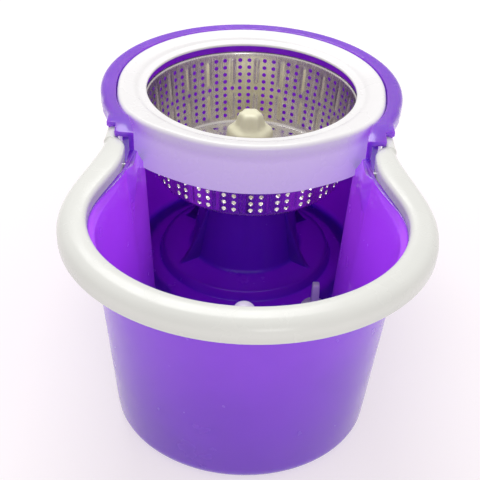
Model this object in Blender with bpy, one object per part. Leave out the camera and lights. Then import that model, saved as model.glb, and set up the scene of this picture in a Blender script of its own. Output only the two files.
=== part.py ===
"""Spin-mop bucket: a keyhole tub with a spinning wringer basket, its splash ring, a carry
handle, a rinse post and a drain plug. Metres, +Z up, the tub's front towards -Y, the
origin on the ground under the middle of the object's box."""

import math

import bmesh
import bpy
from mathutils import Matrix

# Driving dimensions: the whole bucket
LENGTH = 0.448  # handle's front to collar's back
HEIGHT = 0.188  # ground to the collar's top
GAP = 0.0003  # between two pieces that touch
WALL = 0.0025

# Spinner: basket, splash ring and the collar that seats it
BASKET_RADIUS = 0.0955  # outside of the rolled rim
BASKET_TAPER = 0.0095  # its bottom is narrower than its rim by this much
BASKET_CORNER = 0.005
BASKET_DEPTH = 0.072
BASKET_SHEET = 0.0008
BASKET_DROP = 0.014  # collar's top down to the basket's rim
RIM_BEAD = 0.0019
RING_OVERLAP = 0.0038  # how far the splash ring reaches in over the basket's rim
RING_WIDTH = 0.0246
RING_DISH = 0.0063  # its inner lip lies lower than its outer edge
RING_SHEET = 0.0022
RING_FLANGE = 0.0085
SKIRT_DEPTH = 0.043
SKIRT_ANGLE = math.radians(48)  # half of the arc that the front skirt covers
RING_CLEARANCE = 0.0010
COLLAR_WIDTH = 0.0137
COLLAR_SKIRT = 0.012
LEDGE_WIDTH = 0.0035

# Tub
TUB_HALF_WIDTH = 0.107  # inside, under the rim
TUB_DEPTH = 0.0965  # front half of the tub's oval, inside, under the rim
TUB_TAPER = 0.0115
REAR_TAPER = 0.008
RIM_DROP = 0.016  # collar's top down to the tub's rim
LIP = 0.0048  # the wall flares out by this much to meet the rim
LIP_HEIGHT = 0.007
FLANGE_SETBACK = 0.0068  # handle's outer face in to the edge of the flange that carries it
FLANGE_THICKNESS = 0.0025
BASE_RADIUS = 0.013
FLOOR_RADIUS = 0.005  # inside, where the wall meets the floor
FLOOR = 0.008
FOOT_HEIGHT = 0.0055
FOOT_WIDTH = 0.0032
RIDGE_ANGLE = math.radians(48)  # from the front, where the round chamber meets the tub's flank

# Pedestal moulded in the floor
PLATFORM_MARGIN = 0.0368  # chamber's wall in to the round platform
PLATFORM_HEIGHT = 0.017
CONE_FOOT_RADIUS = 0.052
CONE_TOP_RADIUS = 0.039
CONE_FILLET = 0.0045
PEDESTAL_GAP = 0.0088  # basket's bottom down to the pedestal's top
WEB_ANGLE = math.radians(34)  # of the four webs, from straight left or right
WEB_THICKNESS = 0.0035

# Handle and its pivots
HANDLE_WIDTH = 0.021
HANDLE_DROP = 0.0065  # collar's top down to the handle's crown
HANDLE_SHEET = 0.003
HANDLE_SIDE = 0.0025
HANDLE_HEIGHT = 0.0155
PIVOT_RADIUS = 0.003
PIVOT_BEHIND_FLANK = 0.0055
PIN_IN_WALL = 0.0055  # how deep each pin sits in the tub's thickened wall
PIN_IN_HANDLE = 0.008
LIP_THICKNESS = 0.006

# Shaft, bearing and bush
SHAFT_RADIUS = 0.004
BEARING_SECTION = 0.007  # bore to outside
BEARING_WIDTH = 0.007
BEARING_SUNK = 0.0007  # under the pedestal's top
RACE = 0.0021
GROOVE = 0.0011  # depth of each race's ball groove
BALLS = 7
BUSH_WALL = 0.0026
BUSH_FLANGE = 0.0019
BUSH_LENGTH = 0.010
TUBE_HOLD = 0.012  # from the shaft's end up to the foot of the pedestal's tube
WASHER = 0.0010
CLIP = 0.0008
SHAFT_FOOT = 0.034  # ground to the shaft's end
TURN_CLEARANCE = 0.0004

# Drive post in the basket
POST_HEIGHT = 0.0543
POST_BASE_RADIUS = 0.024
POST_TOP_RADIUS = 0.0095
POST_LOBES = 6
HUB_RADIUS = 0.034
HUB_THICKNESS = 0.005
SHAFT_IN_POST = 0.020
SCREWS = 4
SCREW_CIRCLE = 0.016
SCREW_RADIUS = 0.0017
SCREW_HEAD = 0.0018
SCREW_IN_POST = 0.0165

# Rinse post and drain
RINSE_DROP = 0.0905  # collar's top down to the top of the post's cap
RINSE_CAP_HEIGHT = 0.012
RINSE_PIN_FOOT = 0.003  # above the floor
RINSE_FOOT_RADIUS = 0.020
RINSE_CAP_RADIUS = 0.0085
RINSE_PIN_RADIUS = 0.0025
DRAIN_MARGIN = 0.0299  # platform's edge out to the drain's middle
DRAIN_ANGLE = math.radians(35.4)  # from straight ahead of the spinner's axis
DRAIN_RADIUS = 0.0085
GASKET = 0.0014
GRIP_HEIGHT = 0.027

# Worked out from the above
RING_HOLE = BASKET_RADIUS - RING_OVERLAP
RING_RADIUS = RING_HOLE + RING_WIDTH
COLLAR_INNER = RING_RADIUS + RING_CLEARANCE
COLLAR_RADIUS = COLLAR_INNER + COLLAR_WIDTH
SPIN_Y = LENGTH / 2 - COLLAR_RADIUS
RIM = HEIGHT - RIM_DROP
RIM_HALF_WIDTH = TUB_HALF_WIDTH + LIP
RIM_TUB_DEPTH = TUB_DEPTH + LIP
FLANGE = HANDLE_WIDTH - FLANGE_SETBACK
HANDLE_HALF_WIDTH = RIM_HALF_WIDTH + HANDLE_WIDTH
HANDLE_DEPTH = RIM_TUB_DEPTH + HANDLE_WIDTH
TUB_Y = HANDLE_DEPTH - LENGTH / 2
HANDLE_TOP = HEIGHT - HANDLE_DROP
BASKET_TOP = HEIGHT - BASKET_DROP
BASKET_FLOOR = BASKET_TOP - BASKET_DEPTH
BASKET_BOTTOM_RADIUS = BASKET_RADIUS - BASKET_TAPER
PLATFORM_RADIUS = COLLAR_INNER - PLATFORM_MARGIN
DRAIN_X = (PLATFORM_RADIUS + DRAIN_MARGIN) * math.sin(DRAIN_ANGLE)
DRAIN_Y = SPIN_Y - (PLATFORM_RADIUS + DRAIN_MARGIN) * math.cos(DRAIN_ANGLE)
PEDESTAL_TOP = BASKET_FLOOR - PEDESTAL_GAP
SEAT = PEDESTAL_TOP - BEARING_SUNK - BEARING_WIDTH - GAP
BEARING_RADIUS = SHAFT_RADIUS + BEARING_SECTION
BALL_RADIUS = 0.265 * BEARING_SECTION
TUBE_BORE = SHAFT_RADIUS + TURN_CLEARANCE + BUSH_WALL + GAP
TUBE_FOOT = SHAFT_FOOT + TUBE_HOLD
RIDGE_X = COLLAR_INNER * math.sin(RIDGE_ANGLE)
RIDGE_Y = SPIN_Y - COLLAR_INNER * math.cos(RIDGE_ANGLE)
THROAT_X = RIDGE_X + 0.0065
LEG_X = THROAT_X + WALL + 0.0008  # inner side of the handle's legs
FLANK_Y = RIDGE_Y - 0.044  # where the flank starts to swell
PIVOT_Y = FLANK_Y + PIVOT_BEHIND_FLANK
PIVOT_Z = RIM - 0.005
RINSE_TOP = HEIGHT - RINSE_DROP
POST_FOOT = BASKET_FLOOR + BASKET_SHEET + GAP

REAR_STEPS, THROAT_STEPS, FLANK_STEPS, FRONT_STEPS = 9, 1, 5, 7
COLLAR_STEPS, COLLAR_END_STEPS, HANDLE_STEPS = 9, 3, 8
RING_STEPS, SKIRT_STEPS, BASKET_STEPS, POST_STEPS, RACE_STEPS = 42, 12, 42, 36, 24


def material(name, color, roughness, metallic=0.0):
    made = bpy.data.materials.new(name)
    made.use_nodes = True
    shader = made.node_tree.nodes["Principled BSDF"]
    shader.inputs["Base Color"].default_value = (*color, 1)
    shader.inputs["Roughness"].default_value = roughness
    shader.inputs["Metallic"].default_value = metallic
    made.diffuse_color = (*color, 1)
    return made


def clear_scene():
    for item in list(bpy.data.objects):
        bpy.data.objects.remove(item, do_unlink=True)


def finish(name, mesh, finish_material):
    """Turns the bmesh into an object whose faces point out, with smooth round sides."""
    bmesh.ops.recalc_face_normals(mesh, faces=mesh.faces)
    data = bpy.data.meshes.new(name)
    mesh.to_mesh(data)
    mesh.free()
    data.shade_smooth()
    data.set_sharp_from_angle(angle=math.radians(35))
    data.materials.append(finish_material)
    item = bpy.data.objects.new(name, data)
    bpy.context.scene.collection.objects.link(item)
    return item


def loft(rings, closed=False, caps=True):
    """A skin over rings of equally many points. closed joins the last ring to the first."""
    mesh = bmesh.new()
    rows = [[mesh.verts.new(point) for point in ring] for ring in rings]
    count = len(rows[0])
    pairs = list(zip(rows, rows[1:])) + ([(rows[-1], rows[0])] if closed else [])
    for low, high in pairs:
        for i in range(count):
            j = (i + 1) % count
            mesh.faces.new((low[i], low[j], high[j], high[i]))
    if caps and not closed:
        mesh.faces.new(rows[0])
        mesh.faces.new(rows[-1])
    return mesh


def circle(radius, z, steps, x=0.0, y=None):
    y = SPIN_Y if y is None else y
    turns = [math.tau * i / steps for i in range(steps)]
    return [(x + radius * math.cos(a), y + radius * math.sin(a), z) for a in turns]


def turned(profile, steps, x=0.0, y=None, closed=True):
    """A turned shape: profile is its (radius, z) outline. closed means it has a bore."""
    return loft([circle(r, z, steps, x, y) for r, z in profile], closed)


def prism(corners, low, high):
    return loft([[(x, y, z) for x, y in corners] for z in (low, high)])


def combine(target, tools, operation):
    """Applies each tool as a Boolean, and keeps the tool as a hidden wire cutter."""
    for number, tool in enumerate(tools):
        tool.hide_render = True
        tool.display_type = "WIRE"
        change = target.modifiers.new(f"{operation.lower()}_{number}", "BOOLEAN")
        change.operation = operation
        change.solver = "EXACT"
        change.object = tool


def smooth(value):
    value = min(max(value, 0.0), 1.0)
    return value * value * (3 - 2 * value)


# Plan outlines, seen from above


def flank(y, narrow, wide, start):
    """Half width at y, swelling from narrow at start to wide at the tub's middle."""
    return narrow + (wide - narrow) * smooth((start - y) / (start - TUB_Y))


def keyhole(rear, throat, half_width, depth):
    """Closed outline: the round rear chamber, a ridge, the throat, the flanks and the front."""
    half = []
    sweep = math.pi - RIDGE_ANGLE
    for i in range(REAR_STEPS + 1):
        a = sweep * i / REAR_STEPS
        half.append((rear * math.sin(a), SPIN_Y + rear * math.cos(a)))
    ridge_x, ridge_y = half[-1]
    for i in range(1, THROAT_STEPS + 1):
        t = i / THROAT_STEPS
        half.append((ridge_x + (throat - ridge_x) * t, ridge_y + (FLANK_Y - ridge_y) * t))
    for i in range(1, FLANK_STEPS + 1):
        y = FLANK_Y + (TUB_Y - FLANK_Y) * i / FLANK_STEPS
        half.append((flank(y, throat, half_width, FLANK_Y), y))
    for i in range(1, FRONT_STEPS + 1):
        a = math.pi / 2 * i / FRONT_STEPS
        half.append((half_width * math.cos(a), TUB_Y - depth * math.sin(a)))
    half[-1] = (0.0, TUB_Y - depth)
    return half + [(-x, y) for x, y in reversed(half[1:-1])]


def offset(outline, distance):
    """The outline moved outwards; distance is one value or one for each point."""
    count = len(outline)
    moved = []
    for i, (x, y) in enumerate(outline):
        (ax, ay), (bx, by) = outline[i - 1], outline[(i + 1) % count]
        sides = []
        for sx, sy in ((x - ax, y - ay), (bx - x, by - y)):
            length = math.hypot(sx, sy)
            sides.append((-sy / length, sx / length))
        nx, ny = (sides[0][0] + sides[1][0]) / 2, (sides[0][1] + sides[1][1]) / 2
        scale = nx * nx + ny * ny
        step = distance[i] if isinstance(distance, list) else distance
        moved.append((x + step * nx / scale, y + step * ny / scale))
    return moved


def narrowing(z):
    """How far the tub's wall at height z lies inside its place under the rim."""
    return TUB_TAPER * (RIM - LIP_HEIGHT - z) / (RIM - LIP_HEIGHT - FLOOR)


def wall_outline(z):
    """Inside of the wall at height z."""
    narrower = narrowing(z)
    return keyhole(
        COLLAR_INNER - narrower * REAR_TAPER / TUB_TAPER,
        THROAT_X - narrower,
        TUB_HALF_WIDTH - narrower,
        TUB_DEPTH - narrower,
    )


def rim_outline():
    return keyhole(COLLAR_INNER, THROAT_X, RIM_HALF_WIDTH, RIM_TUB_DEPTH)


def around_spinner(outline, radius):
    """The outline's points moved in or out to a circle about the spinner's axis."""
    moved = []
    for x, y in outline:
        length = math.hypot(x, y - SPIN_Y)
        moved.append((x * radius / length, SPIN_Y + (y - SPIN_Y) * radius / length))
    return moved


# Bucket body


def cone_radius(z):
    """Outside of the pedestal's cone at height z."""
    low, high = PLATFORM_HEIGHT + CONE_FILLET, PEDESTAL_TOP - 0.002
    return CONE_FOOT_RADIUS + (CONE_TOP_RADIUS - CONE_FOOT_RADIUS) * (z - low) / (high - low)


def pedestal_rings():
    """(radius, z) from the floor over the platform and cone, down the bore and back under."""
    low, high = PLATFORM_HEIGHT + CONE_FILLET, PEDESTAL_TOP - 0.002
    seat_radius = BEARING_RADIUS + 1.5 * GAP
    under = PEDESTAL_TOP - 0.0035
    return [
        (PLATFORM_RADIUS + 0.0035, FLOOR),
        (PLATFORM_RADIUS + 0.0012, PLATFORM_HEIGHT - 0.0015),
        (PLATFORM_RADIUS, PLATFORM_HEIGHT),
        (cone_radius(low) + CONE_FILLET, PLATFORM_HEIGHT),
        (cone_radius(low) + 0.0012, PLATFORM_HEIGHT + 0.0012),
        (cone_radius(low), low),
        (cone_radius(high), high),
        (cone_radius(high) - 0.002, PEDESTAL_TOP),
        (seat_radius, PEDESTAL_TOP),
        (seat_radius, SEAT),
        (TUBE_BORE, SEAT),
        (TUBE_BORE, TUBE_FOOT),
        (TUBE_BORE + 0.0032, TUBE_FOOT),
        (TUBE_BORE + 0.0032, SEAT - 0.006),
        (seat_radius + 0.003, SEAT - 0.003),
        (seat_radius + 0.003, under),
        (cone_radius(under) - WALL, under),
        (cone_radius(low) - WALL, PLATFORM_HEIGHT - WALL),
        (PLATFORM_RADIUS - 0.002, PLATFORM_HEIGHT - WALL),
        (PLATFORM_RADIUS + 0.0007, FOOT_HEIGHT),
    ]


def tub_shell():
    """Base, wall, rim, floor and pedestal as one skin."""
    rings = []
    base = offset(wall_outline(BASE_RADIUS), WALL)
    for degrees in (0, 30, 60, 90):
        a = math.radians(degrees)
        z = BASE_RADIUS * (1 - math.cos(a))
        rings.append((offset(base, -BASE_RADIUS * (1 - math.sin(a))), z))
    rings.append((offset(wall_outline(RIM - LIP_HEIGHT), WALL), RIM - LIP_HEIGHT))
    rim = rim_outline()
    start = PIVOT_Y - 0.010
    reach = [WALL + FLANGE * smooth((start - y) / (start - TUB_Y)) for _, y in rim]
    rings.append((offset(rim, WALL), RIM - FLANGE_THICKNESS - 0.001))
    rings.append((offset(rim, [r + 0.0002 for r in reach]), RIM - FLANGE_THICKNESS))
    rings.append((offset(rim, reach), RIM))
    rings.append((rim, RIM))
    rings.append((wall_outline(RIM - LIP_HEIGHT), RIM - LIP_HEIGHT))
    low = wall_outline(FLOOR + FLOOR_RADIUS)
    for degrees in (90, 55, 25, 0):
        a = math.radians(degrees)
        z = FLOOR + FLOOR_RADIUS * (1 - math.cos(a))
        rings.append((offset(low, -FLOOR_RADIUS * (1 - math.sin(a))), z))
    floor = rings[-1][0]
    for radius, z in pedestal_rings():
        rings.append((around_spinner(floor, radius), z))
    rings.append((offset(base, -BASE_RADIUS - FOOT_WIDTH - 0.0005), FOOT_HEIGHT))
    rings.append((offset(base, -BASE_RADIUS - FOOT_WIDTH), 0.0))
    return loft([[(x, y, z) for x, y in outline] for outline, z in rings], closed=True)


def collar_section(x, y, out_x, out_y):
    """One section of the collar: from its inner wall over the top to its outer skirt."""
    width = math.hypot(out_x - x, out_y - y)
    ux, uy = (out_x - x) / width, (out_y - y) / width
    edge = 0.0045
    profile = [
        (-0.0002, RIM - 0.012),
        (-0.0002, HEIGHT - RING_FLANGE - 0.0035),
        (-LEDGE_WIDTH, HEIGHT - RING_FLANGE - 0.0028),
        (-LEDGE_WIDTH, HEIGHT - RING_FLANGE - 0.0008),
        (0.0, HEIGHT - RING_FLANGE - 0.0008),
        (0.0, HEIGHT - 0.001),
        (0.001, HEIGHT),
        (width - edge, HEIGHT),
        (width - 0.3 * edge, HEIGHT - 0.3 * edge),
        (width, HEIGHT - edge),
        (width, HEIGHT - COLLAR_SKIRT),
        (width - WALL, HEIGHT - COLLAR_SKIRT),
        (width - WALL - 0.001, HEIGHT - WALL - 0.001),
        (WALL, HEIGHT - WALL - 0.001),
        (WALL - 0.0002, RIM - 0.012),
    ]
    return [(x + ux * u, y + uy * u, z) for u, z in profile]


def collar_stations():
    """Half of the collar's plan as pairs of inner and outer points, from the back."""
    stations = []
    straight = -0.30 * COLLAR_RADIUS  # from here on the outer edge leaves the circle
    turn = math.pi / 2 + math.asin(-straight / COLLAR_RADIUS)
    for i in range(COLLAR_STEPS + 1):
        a = turn * i / COLLAR_STEPS
        stations.append(
            tuple(r * f for r in (COLLAR_INNER, COLLAR_RADIUS) for f in (math.sin(a), math.cos(a)))
        )
    from_x, from_y = stations[-1][2:]
    to_x, to_y = lip_x(), RIDGE_Y - SPIN_Y + 0.003
    last_y = stations[-1][1]
    for i in range(1, COLLAR_END_STEPS + 1):
        t = i / COLLAR_END_STEPS
        y = from_y + (to_y - from_y) * t
        inner_y = last_y + (to_y - last_y) * t
        inner_x = math.sqrt(COLLAR_INNER**2 - inner_y**2)
        stations.append((inner_x, inner_y, from_x + (to_x - from_x) * smooth(t) ** 0.8, y))
    return stations


def lip_x():
    """Half width at the outer lips, where the collar ends over the handle's tongues."""
    return LEG_X + HANDLE_WIDTH - 0.0002


def collar(plastic):
    half = collar_stations()
    both = [(-a, b, -c, d) for a, b, c, d in reversed(half[1:])] + half
    rings = [collar_section(a, b + SPIN_Y, c, d + SPIN_Y) for a, b, c, d in both]
    return finish("collar", loft(rings), plastic)


def lip_corners():
    """Plan of the stepped plate that ends the collar on the right side."""
    back = RIDGE_Y + 0.005
    return [
        (math.sqrt(COLLAR_INNER**2 - (back - SPIN_Y) ** 2) + 0.0002, back),
        (lip_x() + 0.0004, back),
        (lip_x(), RIDGE_Y - 0.002),
        (LEG_X + 0.0095, RIDGE_Y - 0.002),
        (LEG_X + 0.0088, RIDGE_Y - 0.0135),
        (LEG_X + 0.0005, RIDGE_Y - 0.0200),
        (RIDGE_X + 0.0045, RIDGE_Y - 0.0200),
        (RIDGE_X + 0.0020, RIDGE_Y - 0.0020),
    ]


def post_corners(z):
    """Plan at height z of the post under the plate, which holds the skirt's end."""
    out = THROAT_X + WALL - 0.0004 - max(narrowing(z), 0.0)
    return [
        (RIDGE_X + 0.0022, RIDGE_Y + 0.0015),
        (out, RIDGE_Y + 0.0035),
        (out, RIDGE_Y - 0.0185),
        (RIDGE_X + 0.0048, RIDGE_Y - 0.0185),
        (RIDGE_X + 0.0024, RIDGE_Y - 0.0020),
    ]


def pad_corners(z, depth):
    """Plan at height z of the pad that thickens the throat's wall around the pivot."""
    out = THROAT_X + WALL - 0.0008 - max(narrowing(z), 0.0)
    return [
        (RIDGE_X + 0.0024, RIDGE_Y - 0.0010),
        (out, RIDGE_Y - 0.0010),
        (out, PIVOT_Y - 0.007),
        (out - 0.004 - depth * 0.5, PIVOT_Y - 0.007),
        (out - 0.0065 - depth, PIVOT_Y + 0.004),
    ]


def web(side, end):
    """A thin web from the cone's wall down to the platform; side and end are 1 or -1."""
    sunk, top = PLATFORM_HEIGHT - WALL / 2, PEDESTAL_TOP - 0.006
    start, foot = cone_radius(top) - WALL / 2, PLATFORM_RADIUS - 0.003
    steps = 5
    outline = [(cone_radius(sunk) - WALL / 2, sunk)]
    for i in range(steps + 1):
        t = i / steps
        outline.append((start + (foot - start) * t, sunk + (top - sunk) * (1 - t) ** 1.7))
    ux, uy = side * math.cos(WEB_ANGLE), end * math.sin(WEB_ANGLE)
    rings = []
    for shift in (-WEB_THICKNESS / 2, WEB_THICKNESS / 2):
        rings.append([(ux * r - uy * shift, SPIN_Y + uy * r + ux * shift, z) for r, z in outline])
    return loft(rings)


def rinse_boss():
    """The cone moulded on the tub's floor that carries the rinse post's pin."""
    top = RINSE_TOP - RINSE_CAP_HEIGHT
    profile = [
        (RINSE_CAP_RADIUS - 0.001, top),
        (RINSE_CAP_RADIUS + 0.001, top - 0.003),
        (0.6 * RINSE_FOOT_RADIUS, FLOOR + 0.45 * (top - FLOOR)),
        (RINSE_FOOT_RADIUS, FLOOR + 0.001),
        (RINSE_FOOT_RADIUS, FLOOR - 0.001),
    ]
    return turned_solid(profile, 20, 0.0, TUB_Y)


def bucket_additions(plastic):
    """What is moulded on to the tub: collar, lips, posts, pads, webs and the rinse boss."""
    joined = [collar(plastic)]
    for side in (1, -1):
        lip = [(side * x, y) for x, y in lip_corners()]
        joined.append(finish("lip", prism(lip, HEIGHT - LIP_THICKNESS, HEIGHT - 0.0001), plastic))
        rings = []
        for z in (RIM - 0.030, RIM - LIP_HEIGHT, HEIGHT - 0.003):
            rings.append([(side * x, y, z) for x, y in post_corners(z)])
        joined.append(finish("post", loft(rings), plastic))
        rings = []
        for z, depth in ((RIM - 0.0022, 0.0), (RIM - 0.018, 0.0005), (RIM - 0.034, -0.0042)):
            rings.append([(side * x, y, z) for x, y in pad_corners(z, depth)])
        joined.append(finish("pad", loft(rings), plastic))
        joined += [finish("web", web(side, end), plastic) for end in (1, -1)]
    joined.append(finish("rinse_boss", rinse_boss(), plastic))
    return joined


def bucket_body(plastic):
    body = finish("bucket_body", tub_shell(), plastic)
    combine(body, bucket_additions(plastic), "UNION")
    drain = [(DRAIN_RADIUS, -0.01), (DRAIN_RADIUS, FLOOR + 0.02)]
    cuts = [finish("drain_cut", turned_solid(drain, 24, DRAIN_X, DRAIN_Y), plastic)]
    for side in (1, -1):
        inner, outer = side * (THROAT_X + WALL - PIN_IN_WALL), side * (LEG_X + 0.001)
        pivot = rod(PIVOT_RADIUS + GAP + 0.0001, inner, outer, 16)
        cuts.append(finish("pivot_cut", pivot, plastic))
    reach = RINSE_PIN_RADIUS + GAP
    pin_hole = [(reach, FLOOR + RINSE_PIN_FOOT), (reach, RINSE_TOP)]
    cuts.append(finish("pin_cut", turned_solid(pin_hole, 20, 0.0, TUB_Y), plastic))
    combine(body, cuts, "DIFFERENCE")
    return body


def turned_solid(profile, steps, x=0.0, y=None):
    """A turned shape without a bore: its end rings are capped."""
    return turned(profile, steps, x, y, closed=False)


def rod(radius, from_x, to_x, steps):
    """A round rod along X on the handle's pivot axis."""
    rings = []
    for x in (from_x, to_x):
        turns = [math.tau * i / steps for i in range(steps)]
        rings.append([(x, PIVOT_Y + radius * math.cos(a), PIVOT_Z + radius * math.sin(a)) for a in turns])
    return loft(rings)


# Carry handle


def handle_stations():
    """Half of the handle's plan as inner and outer points, from its end to the front."""
    end = RIDGE_Y - 0.0216
    stations = []
    outer_start = RIDGE_Y - 0.012
    for i in range(HANDLE_STEPS + 3):
        y = end + (TUB_Y - end) * i / (HANDLE_STEPS + 2)
        inner = flank(y, LEG_X, RIM_HALF_WIDTH, FLANK_Y)
        outer = flank(y, LEG_X + HANDLE_WIDTH, HANDLE_HALF_WIDTH, outer_start)
        stations.append((inner, y, outer, y))
    for i in range(1, HANDLE_STEPS + 1):
        a = math.pi / 2 * i / HANDLE_STEPS
        stations.append(
            (
                RIM_HALF_WIDTH * math.cos(a),
                TUB_Y - RIM_TUB_DEPTH * math.sin(a),
                HANDLE_HALF_WIDTH * math.cos(a),
                TUB_Y - HANDLE_DEPTH * math.sin(a),
            )
        )
    return stations


def handle_section(x, y, out_x, out_y):
    """An upside-down channel: short inner side on the rim, deeper outer side past it."""
    width = math.hypot(out_x - x, out_y - y)
    ux, uy = (out_x - x) / width, (out_y - y) / width
    top, rest, foot = HANDLE_TOP, RIM + GAP, HANDLE_TOP - HANDLE_HEIGHT
    profile = [
        (0.0, rest),
        (0.0, top - 0.0035),
        (0.0022, top - 0.0008),
        (0.35 * width, top),
        (width - 0.0055, top - 0.0008),
        (width - 0.0012, top - 0.0045),
        (width, top - 0.009),
        (width, foot),
        (width - HANDLE_SIDE, foot),
        (width - HANDLE_SIDE - 0.0006, top - HANDLE_SHEET - 0.0045),
        (width - 0.007, top - HANDLE_SHEET - 0.0006),
        (HANDLE_SIDE + 0.001, top - HANDLE_SHEET - 0.0006),
        (HANDLE_SIDE, rest),
    ]
    return [(x + ux * u, y + uy * u, z) for u, z in profile]


def box(x, y, z):
    """A block from its low and high bounds along each axis."""
    return prism([(x[0], y[0]), (x[1], y[0]), (x[1], y[1]), (x[0], y[1])], *z)


def carry_handle(plastic):
    half = handle_stations()
    both = half + [(-a, b, -c, d) for a, b, c, d in reversed(half[:-1])]
    handle = finish("carry_handle", loft([handle_section(*s) for s in both]), plastic)
    joined, cuts = [], []
    for side in (1, -1):
        across = [side * (LEG_X + 0.0103), side * (LEG_X + HANDLE_WIDTH - 0.0006)]
        along = [RIDGE_Y - 0.024, RIDGE_Y - 0.003]
        tongue = box(across, along, [HANDLE_TOP - 0.0055, HANDLE_TOP - 0.0010])
        joined.append(finish("tongue", tongue, plastic))
        across = [side * (LEG_X + 0.0003), side * (LEG_X + PIN_IN_HANDLE + 0.003)]
        along = [PIVOT_Y - 0.0065, PIVOT_Y + 0.0065]
        boss = box(across, along, [PIVOT_Z - 0.0062, HANDLE_TOP - 0.002])
        joined.append(finish("boss", boss, plastic))
        outer = side * (LEG_X + PIN_IN_HANDLE + 2 * GAP)
        seat = rod(PIVOT_RADIUS + GAP, side * (LEG_X - 0.002), outer, 16)
        cuts.append(finish("pin_seat", seat, plastic))
    combine(handle, joined, "UNION")
    combine(handle, cuts, "DIFFERENCE")
    return handle


def handle_pin(name, side, steel):
    tip = side * (THROAT_X + WALL - PIN_IN_WALL + GAP)
    return finish(name, rod(PIVOT_RADIUS, tip, side * (LEG_X + PIN_IN_HANDLE), 16), steel)


# Splash ring


def ring_section(angle, drop):
    """Section of the ring; drop is how far its outer edge hangs down there."""
    top = HEIGHT
    lip = top - RING_DISH
    profile = [
        (RING_HOLE + 0.0012, lip - 0.0045),
        (RING_HOLE, lip - 0.003),
        (RING_HOLE + 0.0005, lip - 0.0008),
        (RING_HOLE + 0.0022, lip + 0.0004),
        (RING_HOLE + 0.40 * RING_WIDTH, top - 0.0028),
        (RING_RADIUS - 0.0045, top - 0.0002),
        (RING_RADIUS - 0.0012, top - 0.0010),
        (RING_RADIUS, top - 0.0032),
        (RING_RADIUS, top - drop),
        (RING_RADIUS - RING_SHEET, top - drop),
        (RING_RADIUS - RING_SHEET - 0.0008, top - RING_SHEET - 0.0030),
        (RING_HOLE + 0.45 * RING_WIDTH, top - RING_SHEET - 0.0028),
        (RING_HOLE + 0.0040, lip - RING_SHEET),
    ]
    return [(r * math.sin(angle), SPIN_Y - r * math.cos(angle), z) for r, z in profile]


def splash_ring(plastic):
    skirt = [SKIRT_ANGLE * (-1 + 2 * i / SKIRT_STEPS) for i in range(SKIRT_STEPS + 1)]
    left = RING_STEPS - SKIRT_STEPS
    rest = [SKIRT_ANGLE + (math.tau - 2 * SKIRT_ANGLE) * i / left for i in range(1, left)]
    rings = [ring_section(a, SKIRT_DEPTH) for a in skirt]
    rings.insert(0, ring_section(-SKIRT_ANGLE - math.radians(0.3), RING_FLANGE))
    rings.append(ring_section(SKIRT_ANGLE + math.radians(0.3), RING_FLANGE))
    rings += [ring_section(a, RING_FLANGE) for a in rest]
    return finish("splash_ring", loft(rings, closed=True), plastic)


# Spinner


def spin_basket(steel):
    top, low = BASKET_TOP, BASKET_FLOOR
    wall = BASKET_RADIUS - 2 * RIM_BEAD
    foot, corner = BASKET_BOTTOM_RADIUS, BASKET_CORNER
    bore = SHAFT_RADIUS + TURN_CLEARANCE
    profile = [
        (wall - BASKET_SHEET, top - RIM_BEAD),
        (wall, top - 0.3 * RIM_BEAD),
        (BASKET_RADIUS - RIM_BEAD, top),
        (BASKET_RADIUS - 0.3 * RIM_BEAD, top - 0.3 * RIM_BEAD),
        (BASKET_RADIUS, top - RIM_BEAD),
        (BASKET_RADIUS - 0.3 * RIM_BEAD, top - 1.7 * RIM_BEAD),
        (BASKET_RADIUS - RIM_BEAD, top - 2 * RIM_BEAD),
        (wall, top - 2.4 * RIM_BEAD),
        (foot, low + corner),
        (foot - 0.3 * corner, low + 0.3 * corner),
        (foot - corner, low),
        (bore, low),
        (bore, low + BASKET_SHEET),
        (foot - corner, low + BASKET_SHEET),
        (foot - 0.3 * corner - 0.7 * BASKET_SHEET, low + 0.3 * corner + 0.7 * BASKET_SHEET),
        (foot - BASKET_SHEET, low + corner),
    ]
    basket = finish("spin_basket", turned(profile, BASKET_STEPS), steel)
    combine(basket, [screw_cut(number, steel) for number in range(SCREWS)], "DIFFERENCE")
    return basket


def screw_place(number):
    a = math.tau * (number + 0.5) / SCREWS
    return SCREW_CIRCLE * math.cos(a), SPIN_Y + SCREW_CIRCLE * math.sin(a)


def screw_cut(number, steel):
    x, y = screw_place(number)
    reach = SCREW_RADIUS + GAP + 0.0001
    low, high = BASKET_FLOOR - HUB_THICKNESS - 0.003, BASKET_FLOOR + SCREW_IN_POST + 0.001
    return finish("screw_cut", turned_solid([(reach, low), (reach, high)], 12, x, y), steel)


def post_section(radius, z, lobes):
    ring = []
    for i in range(POST_STEPS):
        a = math.tau * i / POST_STEPS
        r = radius * (1 + lobes * math.cos(POST_LOBES * a))
        ring.append((r * math.cos(a), SPIN_Y + r * math.sin(a), z))
    return ring


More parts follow.
